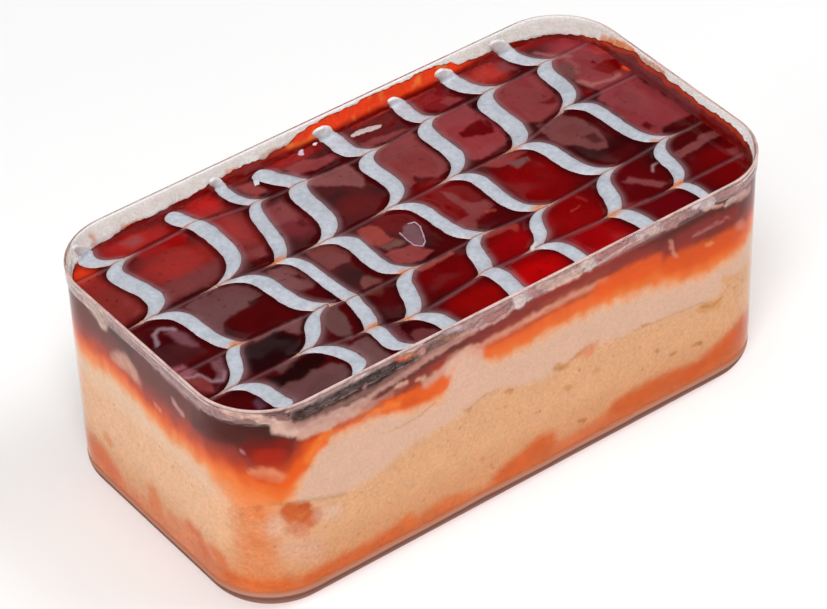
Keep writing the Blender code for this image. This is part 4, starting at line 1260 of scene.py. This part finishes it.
def painted_foot_light(look, split, shader):
    """The foot's painted light on a shader: bands of painted shadow and highlight in syrup colours.
    """
    shift = look.ranged(look.noise(60, 3, 0.6), 0.3, 0.7, -0.2 * MM, 0.2 * MM)
    height = look.math("ADD", split.outputs["Z"], shift)
    shades = look.add("ShaderNodeValToRGB", look.ranged(height, 0, FOOT_TOP * MM, 0, 1))
    fill_ramp(shades, [(level / FOOT_TOP, rgb(code)) for level, code in FOOT_SHADES])
    share = look.ranged(height, 4.7 * MM, FOOT_TOP * MM, 0.9, 0)
    # painted shadow and painted highlight in bands, laid over the plastic
    stain = look.add("ShaderNodeBsdfDiffuse", shades.outputs["Color"]).outputs[0]
    return look.laid(share, shader, stain)


def clear_plastic():
    """Clear rigid plastic. Light from lamps and from the cake passes straight through it."""
    look = Look("clear rigid plastic")
    look.set("Base Color", (0.97, 0.975, 0.98, 1))
    look.set("Roughness", look.ranged(look.noise(90, 4, 0.6, 0.4), 0.45, 0.75, 0.02, 0.09))
    look.set("IOR", 1.2)
    look.set("Transmission Weight", 1.0)
    look.bump(look.noise(45, 2, 0.5), 0.06, 0.002)
    split = look.add("ShaderNodeSeparateXYZ", look.place)
    # painted light on the foot, and a painted highlight along the rim
    seen = rim_highlight_band(look, split, painted_foot_light(look, split, look.shader.outputs[0]))
    rays = look.add("ShaderNodeLightPath").outputs
    passing = look.math("MAXIMUM", rays["Is Shadow Ray"], rays["Is Diffuse Ray"])
    open_way = look.add("ShaderNodeBsdfTransparent", (0.96, 0.96, 0.96, 1)).outputs[0]
    output = look.nodes["Material Output"].inputs["Surface"]
    look.fill(output, look.laid(passing, seen, open_way))
    return look.made


def cake_look(name, roughness, speckle, pores, grain):
    """Cake or cream behind the wall, in the colours of its points."""
    look = Look(name)
    fine = look.noise(1500, 3, 0.65)
    colour = look.attribute("tint", "Color")
    colour = look.mottled(colour, look.noise(220, 3, 0.6), 1 - speckle, 1 + speckle)
    colour = look.mottled(colour, fine, 1 - grain, 1 + grain)
    if pores:
        cells = look.add("ShaderNodeTexVoronoi", look.place, Scale=650.0)
        pore = look.ranged(cells.outputs["Distance"], 0.1, 0.35, 1, 0)
        rare = look.ranged(look.noise(500, 2), 0.52, 0.68, 0, pores)
        darker = look.mixed(1.0, colour, (0.72, 0.6, 0.46, 1), "MULTIPLY")
        colour = look.mixed(look.math("MULTIPLY", pore, rare), colour, darker)
    look.set("Base Color", colour)
    look.set("Roughness", roughness)
    look.set("Specular IOR Level", 0.0)
    look.bump(fine, 0.25, 0.0004)
    return look.made


def caramel_glaze():
    """The wet top of the caramel: deep red-brown, glossy, a little uneven."""
    look = Look("caramel glaze")
    colour = look.attribute("tint", "Color")
    colour = look.mottled(colour, look.noise(160, 4, 0.6, 0.6), 0.85, 1.12)
    specks = look.ranged(look.noise(900, 2, 0.5), 0.64, 0.72, 0.0, 0.4)
    look.set("Base Color", look.mixed(specks, colour, (0.012, 0.002, 0.002, 1)))
    look.set("Roughness", look.ranged(look.noise(120, 3), 0.35, 0.7, 0.04, 0.1))
    look.set("IOR", 1.33)
    look.set("Specular IOR Level", 0.3)
    look.bump(look.noise(90, 2, 0.5), 0.05, 0.001)
    return look.made


def white_icing():
    """The lines' smooth icing, in the colours of its points."""
    look = Look("white feathered icing")
    grain = look.noise(1200, 3)
    colour = look.mottled(look.attribute("tint", "Color"), look.noise(350, 3, 0.6), 0.88, 1.08)
    look.set("Base Color", look.mottled(colour, grain, 0.88, 1.12))
    look.set("Roughness", 0.3)
    look.set("Specular IOR Level", 0.35)
    look.bump(grain, 0.15, 0.0003)
    return look.made


def film_look(name, roughness):
    """A streaky film on the wall in the colours of its points."""
    look = Look(name)
    streaks = look.noise(700, 4, 0.65, 0.8)
    look.set("Base Color", look.mottled(look.attribute("tint", "Color"), streaks, 0.85, 1.12))
    look.set("Roughness", roughness)
    look.bump(streaks, 0.25, 0.0004)
    return look, streaks


def caramel_film():
    return film_look("caramel on the wall", 0.15)[0].made


def milky_film():
    """A milky film, as see-through as its points say."""
    look, streaks = film_look("milky film on the wall", 0.4)
    uneven = look.ranged(streaks, 0.3, 0.65, 0.7, 1.15)
    look.set("Alpha", look.math("MULTIPLY", uneven, look.attribute("cover", "Fac"), held=True))
    look.set("Specular IOR Level", 0.1)
    return look.made


def pale_floor():
    look = Look("pale floor")
    cloudy = look.noise(8, 3)
    look.set("Base Color", look.mixed(cloudy, (0.86, 0.86, 0.86, 1), (0.9, 0.9, 0.9, 1)))
    look.set("Roughness", 0.8)
    return look.made


# --- Pieces ---


def rounding(inset, z, radius, angles, up=1):
    """Points (inset, height) on a quarter circle from the wall, at 0 degrees, to the level z, at
    90. The circle lies above that level, or below it where up is -1."""
    turns = [math.radians(angle) for angle in angles]
    return [
        (inset + radius * (1 - math.cos(turn)), z + up * radius * (1 - math.sin(turn)))
        for turn in turns
    ]


def outer_section():
    """Points (inset, height) from the rim down the box's outside to its base."""
    lip_foot = BOX_HEIGHT - LIP_HEIGHT
    return [
        (RIM_ROUND * 1.5, BOX_HEIGHT),
        *rounding(0, BOX_HEIGHT, RIM_ROUND, np.linspace(90, 0, 5), up=-1),
        (0, lip_foot + LIP_STEP),
        (LIP_STEP / 2, lip_foot),
        (LIP_OUT, lip_foot - LIP_STEP),
        *((LIP_OUT, z) for z in np.linspace(lip_foot - 2 * MM, BASE_FILLET, 12)),
        *rounding(LIP_OUT, 0, BASE_FILLET, np.linspace(0, 90, 11)[1:]),
    ]


def inner_section():
    """Points (inset, height) from the box's floor up its inside to the rim."""
    slope = np.linspace(RIM_SLOPE_FOOT, BOX_HEIGHT - RIM_ROUND / 4, 4)[1:]
    return [
        *rounding(INNER_WALL, FLOOR, INNER_FILLET, np.linspace(90, 0, 9)),
        *((INNER_WALL, z) for z in np.linspace(8 * MM, RIM_SLOPE_FOOT, 14)),
        *((inner_inset(z), z) for z in slope),
    ]


def make_clear_box():
    ways = np.linspace(-HALF_WAY, HALF_WAY, BOX_COLUMNS + 1)[:-1]
    outer, inner = outer_section(), inner_section()
    rings = [on_wall(ways, np.full_like(ways, z), inset) for inset, z in outer + inner]
    points = np.concatenate(rings + [[[0, 0, 0]], [[0, 0, FLOOR]]])
    count, under = len(ways), len(outer) * len(ways)
    faces = grid_faces(len(outer), count, closed=True)
    faces += grid_faces(len(inner), count, under, closed=True)
    faces += bridge_faces(0, len(points) - 2 - count, count)
    faces += fan_faces(under - count, count, len(points) - 2)
    faces += fan_faces(under, count, len(points) - 1)
    box = mesh_object("clear_box_shell", points, faces, [clear_plastic()])
    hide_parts("clear_box")
    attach(box, "root")


def glaze_top(start):
    """The caramel's surface: its points, their colours and its faces, numbered from start."""
    x, y = drafted(*surface_places(FILL_INSET), SURFACE_LEVEL)
    points = np.stack([x, y, surface_height(x, y)], axis=-1)
    faces = grid_faces(*x.shape, start)
    return points.reshape(-1, 3), surface_colour(x, y).reshape(-1, 3), faces


def make_layer(node, z, inset, looks, middles=None):
    """One layer of the cake as a closed solid. z and inset are the rows of its side at the wall,
    looks its side's and its top's, and middles the colours in the middle of its top and base."""
    number = LAYERS.index(node)
    ways = loop_ways()
    t = np.broadcast_to(ways, z.shape)
    colours = side_colour(t, z)
    middles = middles or (colours[0, 0], colours[-1, 0])
    faces = grid_faces(*z.shape, closed=True)
    slots = [0] * len(faces)
    if number == 0:
        top, top_tints, top_faces = glaze_top(z.size)
    else:
        top, top_tints = [(0, 0, UNDERSIDES[number - 1])], [middles[0]]
        top_faces = fan_faces(0, len(ways), z.size)
    points = [on_wall(t, z, inset).reshape(-1, 3), top, [(0, 0, UNDERSIDES[number])]]
    tints = [colours.reshape(-1, 3), top_tints, [middles[1]]]
    faces += top_faces
    slots += [len(looks) - 1] * len(top_faces)
    base_faces = fan_faces(z.size - len(ways), len(ways), z.size + len(top))
    faces += base_faces
    slots += [0] * len(base_faces)
    tint = {"tint": np.concatenate(tints)}
    piece = mesh_object(f"{node}_layer", np.concatenate(points), faces, looks, slots, tint)
    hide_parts(node)
    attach(piece, "root")


def layer_rows(node, top, bottom):
    """The rows of a layer's side between two edges, with the cracks pressed in."""
    ways = loop_ways()
    z = rows_between(top(ways), bottom(ways), LAYER_ROWS[LAYERS.index(node)])
    dents = CRACK_DEPTH * crack_share(np.broadcast_to(ways, z.shape) / MM, z / MM + SEEN_DROP)
    dents[[0, -1]] = 0
    return z, FILL_INSET + dents


def base_rows():
    """The rows of the soaked base's side, which goes down into the box's inner fillet."""
    ways = loop_ways()
    radius = INNER_FILLET + INTO_WALL
    fillet_top = np.full_like(ways, FLOOR + INNER_FILLET)
    turns = np.radians(np.linspace(0, 90, FILLET_ROWS + 1)[1:, None])
    z = rows_between(soak_edge(ways), fillet_top, LAYER_ROWS[-1])
    inset = np.full((len(z), 1), FILL_INSET)
    z = np.concatenate([z, fillet_top - radius * np.sin(turns)])
    return z, np.concatenate([inset, FILL_INSET + radius * (1 - np.cos(turns))])


def make_cake():
    at_wall = cake_look("caramel at the wall", 0.3, 0.05, 0, 0.06)
    cream = cake_look("milk cream", 0.5, 0.035, 0, 0.08)
    sponge = cake_look("sponge crumb", 0.7, 0.05, 0.8, 0.12)
    soaked = cake_look("syrup soaked cake", 0.4, 0.09, 0.4, 0.12)
    rows = layer_rows("caramel", surface_edge, orange_edge)
    make_layer("caramel", *rows, [at_wall, caramel_glaze()])
    make_layer("cream", *layer_rows("cream", orange_edge, sponge_edge), [cream])
    make_layer("sponge", *layer_rows("sponge", sponge_edge, soak_edge), [sponge])
    make_layer("soaked_base", *base_rows(), [soaked], (SPONGE, SOAK))


def bent_up_wall(x, y):
    """Where points along a line in mm lie when it turns up the far wall: their Y, their height
    over the surface, and the Y and Z of the way that they face."""
    radius = CORNER_RADIUS / MM - INNER_WALL / MM
    out = np.maximum(np.abs(x) - ARC_X / MM, 0)
    wall_y = ARC_Y / MM + np.sqrt(np.maximum(radius**2 - out**2, 0)) - 0.1
    start = wall_y - BEND
    turn = np.clip((y - start) / BEND, 0, math.pi / 2)
    up = np.maximum(y - start - BEND * math.pi / 2, 0)
    bent_y = np.minimum(y, start) + BEND * np.sin(turn)
    return bent_y, BEND * (1 - np.cos(turn)) + up, -np.sin(turn), np.cos(turn)


def line_rings(line):
    """A line's cross-sections as closed rings of points, and their colours."""
    ys = line_stations(line)
    middle = line_middle(line, ys)
    half = line_half_width(line, ys)
    straight = 1 / np.sqrt(1 + np.gradient(middle, ys) ** 2)
    gap = np.min([np.abs(ys - at_y) for at_y, _ in line.drags], axis=0)
    cut = np.exp(-((gap / CUT_REACH) ** 2))
    rise = LINE_RISE * np.clip(2.4 * straight, 0.25, 1) * np.clip(2.2 * half / half.max(), 0.3, 1)
    rise *= 1 - 0.55 * cut
    across = np.linspace(-1, 1, ACROSS)
    x = middle[:, None] + half[:, None] * across
    y = np.broadcast_to(ys[:, None], x.shape)
    bent_y, up, face_y, face_z = bent_up_wall(x, y)
    level = bare_surface(x * MM, bent_y * MM) / MM + up
    crown = (1 - np.abs(across) ** 2.6) ** 0.6
    lumps = 1 + 0.12 * rough(x, y, 1.3, 51)
    top = rise[:, None] * crown * lumps - 0.05
    under = np.where(up > 0.5, -LINE_ON_WALL, -LINE_SUNK)
    upper, lower = (
        np.stack([x, bent_y + face_y * height, level + face_z * height], axis=-1) * MM
        for height in (top, under)
    )
    thin = np.clip(0.55 * smooth_step(0.5, 0.22, straight) + 0.8 * cut, 0, 1)[:, None]
    colour = icing_colour(x, y, across, thin, gap[:, None], up)
    return closed_rings(upper, lower), closed_rings(colour, colour)


def closed_rings(upper, lower):
    """Rings that run across a strip's upper side and back under it."""
    return np.concatenate([upper, lower[:, ::-1]], axis=1)


def ribbon_rings(path, half_widths, rise, across_count=7):
    """Rings of a low ribbon that lies on the caramel along a path (x, y) in mm."""
    path = np.stack(path, axis=1)
    along = np.gradient(path, axis=0)
    along /= np.linalg.norm(along, axis=1)[:, None]
    side = np.stack([-along[:, 1], along[:, 0]], axis=1)
    across = np.linspace(-1, 1, across_count)
    offset = side[:, None, :] * (half_widths[:, None] * across)[..., None]
    x, y = (path[:, None, :] + offset).transpose(2, 0, 1) * MM
    level = surface_height(x, y)
    crown = np.sqrt(np.maximum(1 - across**2, 0))
    upper = np.stack([x, y, level + rise * MM * crown], axis=-1)
    lower = np.stack([x, y, level - 0.15 * MM], axis=-1)
    return closed_rings(upper, lower)


def make_trails():
    """The thin trails that the drags draw out of the cusps: rings and their colours."""
    made = []
    fade = np.linspace(1, 0, TRAIL_POINTS)
    for line in LINES:
        for number, (_, tip) in enumerate(line.drags):
            pull = tip - line.stretches[number + 1][0]
            if abs(pull) < 1:
                continue
            onward = math.copysign(1, pull)
            start = tip + onward * 0.3 * line.stretches[number][2]
            x = start + onward * (1.2 + 0.45 * abs(pull)) * fade[::-1]
            x = x.clip(-60, 60)
            y = np.interp(x, *drag_paths()[number]) + 0.08 * rough(x, 0, 1.5, 70)
            rings = ribbon_rings((x, y), 0.05 + 0.36 * fade**1.5, 0.08)
            colour = mixed(mixed(TAN, TIP, orange_share(x, y)), TRAIL_END, (1 - fade) ** 0.7)
            made.append((rings, np.repeat(colour[:, None], rings.shape[1], axis=1)))
    return made


def make_dabs():
    """The small pieces of icing and the bubble's edge: rings and their colours."""
    made = []
    round_end = np.sqrt(np.maximum(1 - np.linspace(-1, 1, TRAIL_POINTS) ** 4, 0.002))
    for points, half_width, code in DABS:
        x, y = along_path(points, TRAIL_POINTS)
        uneven = 1 + 0.5 * rough(x, y, 0.8, 72)
        rings = ribbon_rings((x, y), half_width * round_end * uneven, 0.3, 9)
        made.append((rings, np.broadcast_to(rgb(code), rings.shape)))
    x, y = along_path(BUBBLE, BUBBLE_POINTS)
    rings = ribbon_rings((x, y), 0.16 + 0.12 * rough(x, y, 1.2, 73), 0.12)
    made.append((rings, np.broadcast_to(BUBBLE_EDGE, rings.shape)))
    return made


def make_lines():
    """The eight feathered lines, their trails and small dabs of icing as one piece."""
    points, faces, tints = [], [], []
    total = 0
    for rings, colour in [line_rings(line) for line in LINES] + make_trails() + make_dabs():
        rows, count = rings.shape[:2]
        faces += grid_faces(rows, count, total, closed=True)
        faces += fan_faces(total, count, total + rows * count)
        faces += fan_faces(total + (rows - 1) * count, count, total + rows * count + 1)
        ends = [0, -1]
        points += [rings.reshape(-1, 3), rings[ends].mean(axis=1)]
        tints += [colour.reshape(-1, 3), colour[ends].mean(axis=1)]
        total += rows * count + 2
    tint = {"tint": np.concatenate(tints)}
    points = np.concatenate(points)
    lines = mesh_object("feathered_lines", points, faces, [white_icing()], None, tint, 60)
    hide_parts("caramel")
    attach(lines, "root")


def wall_sheet(name, t, z, depth, look, tints, covers):
    """A film on the inner wall as a thin closed solid round the box."""
    inset = inner_inset(z)
    face = on_wall(t, z, inset + depth)
    back = on_wall(t, z, inset - FILM_IN_WALL)
    rows, count = z.shape
    faces = grid_faces(rows, count, closed=True)
    faces += grid_faces(rows, count, z.size, closed=True)
    for first in (0, z.size - count):
        faces += bridge_faces(first, first + z.size, count)
    values = {
        "tint": np.concatenate([tints.reshape(-1, 3)] * 2),
        "cover": np.concatenate([covers.reshape(-1)] * 2),
    }
    points = np.concatenate([face.reshape(-1, 3), back.reshape(-1, 3)])
    sheet = mesh_object(name, points, faces, [look], None, values)
    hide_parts("caramel")
    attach(sheet, "root")


def make_wall_films():
    """The caramel that clings to the wall, and the milky film above it."""
    ways = np.linspace(-HALF_WAY, HALF_WAY, FILM_WAYS + 1)[:-1]
    low = np.full_like(ways, SURFACE_LEVEL - 0.4 * MM)
    top = np.maximum(cling_edge(ways), low + 0.5 * MM)
    rim = np.full_like(ways, FILM_TOP)

    z = rows_between(low, top, CLING_ROWS)
    t = np.broadcast_to(ways, z.shape)
    thinning = np.linspace(1, 0, CLING_ROWS)[:, None] ** 1.5
    depth = CLING_THICKNESS * thinning * (1 + 0.4 * rough(t, z, 1.5 * MM, 46)) + 0.03 * MM
    wall_sheet("caramel_on_wall", t, z, depth, caramel_film(), *cling_colour(t, z))

    z = rows_between(top, rim, FILM_ROWS)
    t = np.broadcast_to(ways, z.shape)
    share = np.linspace(0, 1, FILM_ROWS)[:, None]
    tints, covers = film_colour(t, z)
    depth = FILM_THICKNESS * covers * np.minimum(1, 8 * share * (1 - share)) + 0.01 * MM
    wall_sheet("milk_on_wall", t, z, depth, milky_film(), tints, covers)


# --- Stage ---

# The camera, fitted to the box's outline in the photo
CAMERA_PLACE = Vector((-0.349156, -0.480131, 0.512514))
CAMERA_TARGET = Vector((0.001647, 0.00406, 0.020909))
CAMERA_ROLL = -1.9841
LENS = 177.949
FLOOR_HALF = 3.0
FLOOR_GAP = 0.05 * MM
# The world's shades, by the sine of the angle above the floor
WORLD_SHADES = ((0.0, 0.7), (0.25, 0.6), (0.42, 0.04), (0.85, 0.04), (0.97, 1.0))
# Panels that the glaze mirrors: X, Y, width and depth on the glaze in mm, and turn in degrees
PANELS = ((-26, 12, 62, 26, 8), (34, 19, 60, 16, -4))
PANEL_AWAY = 0.9
PANEL_GLOW = 0.5
# Soft lights: name, place, width and height, watts
LIGHTS = (
    ("key", (-0.5, -0.55, 1.15), (0.6, 0.5), 13.0),
    ("fill", (0.65, -0.35, 1.1), (0.6, 0.6), 7.0),
    ("side", (-1.0, 0.1, 0.55), (0.4, 0.4), 1.9),
)
LIGHT_TARGET = (0, 0, 0.02)


def make_camera():
    camera = placed("camera", bpy.data.cameras.new("camera"))
    look = (CAMERA_TARGET - CAMERA_PLACE).to_track_quat("-Z", "Y").to_matrix().to_4x4()
    roll = Matrix.Rotation(math.radians(CAMERA_ROLL), 4, "Z")
    camera.matrix_world = Matrix.Translation(CAMERA_PLACE) @ look @ roll
    camera.data.lens = LENS
    camera.data.sensor_width = 36.0
    camera.data.clip_start = 0.01
    camera.data.clip_end = 20.0
    bpy.context.scene.camera = camera


def area_light(name, place, target, size, power):
    data = bpy.data.lights.new(name, "AREA")
    data.shape = "RECTANGLE"
    data.size, data.size_y = size
    data.energy = power
    light = placed(name, data)
    light.location = place
    direction = Vector(target) - Vector(place)
    light.rotation_euler = direction.to_track_quat("-Z", "Y").to_euler()
    light.visible_camera = False
    return light


def make_floor():
    corners = [(-1, -1), (1, -1), (1, 1), (-1, 1)]
    mesh = bpy.data.meshes.new("floor")
    points = [(x * FLOOR_HALF, y * FLOOR_HALF, -FLOOR_GAP) for x, y in corners]
    mesh.from_pydata(points, [], [(0, 1, 2, 3)])
    mesh.materials.append(pale_floor())
    floor = placed("floor", mesh)


def make_world():
    """A soft grey surrounding, dark at the heights that the glaze mirrors."""
    world = bpy.data.worlds.new("world")
    bpy.context.scene.world = world
    world.use_nodes = True
    nodes, link = world.node_tree.nodes, world.node_tree.links.new
    place = nodes.new("ShaderNodeTexCoord")
    split = nodes.new("ShaderNodeSeparateXYZ")
    link(place.outputs["Generated"], split.inputs[0])
    shades = nodes.new("ShaderNodeValToRGB")
    link(split.outputs["Z"], shades.inputs[0])
    fill_ramp(shades, [(up, (shade, shade, shade)) for up, shade in WORLD_SHADES])
    link(shades.outputs["Color"], nodes["Background"].inputs["Color"])


def mirrored_place(spot, distance):
    """The place at a distance where something must be to be seen mirrored at a spot."""
    below = CAMERA_PLACE.copy()
    below.z = 2 * SURFACE_LEVEL - CAMERA_PLACE.z
    return spot + (spot - below).normalized() * distance


def make_panels():
    """The panels, as large as they have to be to cover their places on the glaze."""
    grow = 1 + PANEL_AWAY / (CAMERA_PLACE - Vector((0, 0, SURFACE_LEVEL))).length
    for number, (x, y, width, depth, turn) in enumerate(PANELS):
        spot = Vector((x * MM, y * MM, SURFACE_LEVEL))
        size = (width * MM * grow, depth * MM * grow)
        glow = PANEL_GLOW * math.pi * size[0] * size[1]
        place = mirrored_place(spot, PANEL_AWAY)
        panel = area_light(f"panel_{number}", place, spot, size, glow)
        panel.rotation_euler.rotate_axis("Z", math.radians(turn))


def make_lights():
    make_world()
    make_panels()
    for name, place, size, power in LIGHTS:
        area_light(name, place, LIGHT_TARGET, size, power)


def main():
    make_camera()
    make_floor()
    make_lights()
    make_clear_box()
    make_cake()
    make_lines()
    make_wall_films()
    bpy.context.scene.view_settings.view_transform = "Standard"


main()
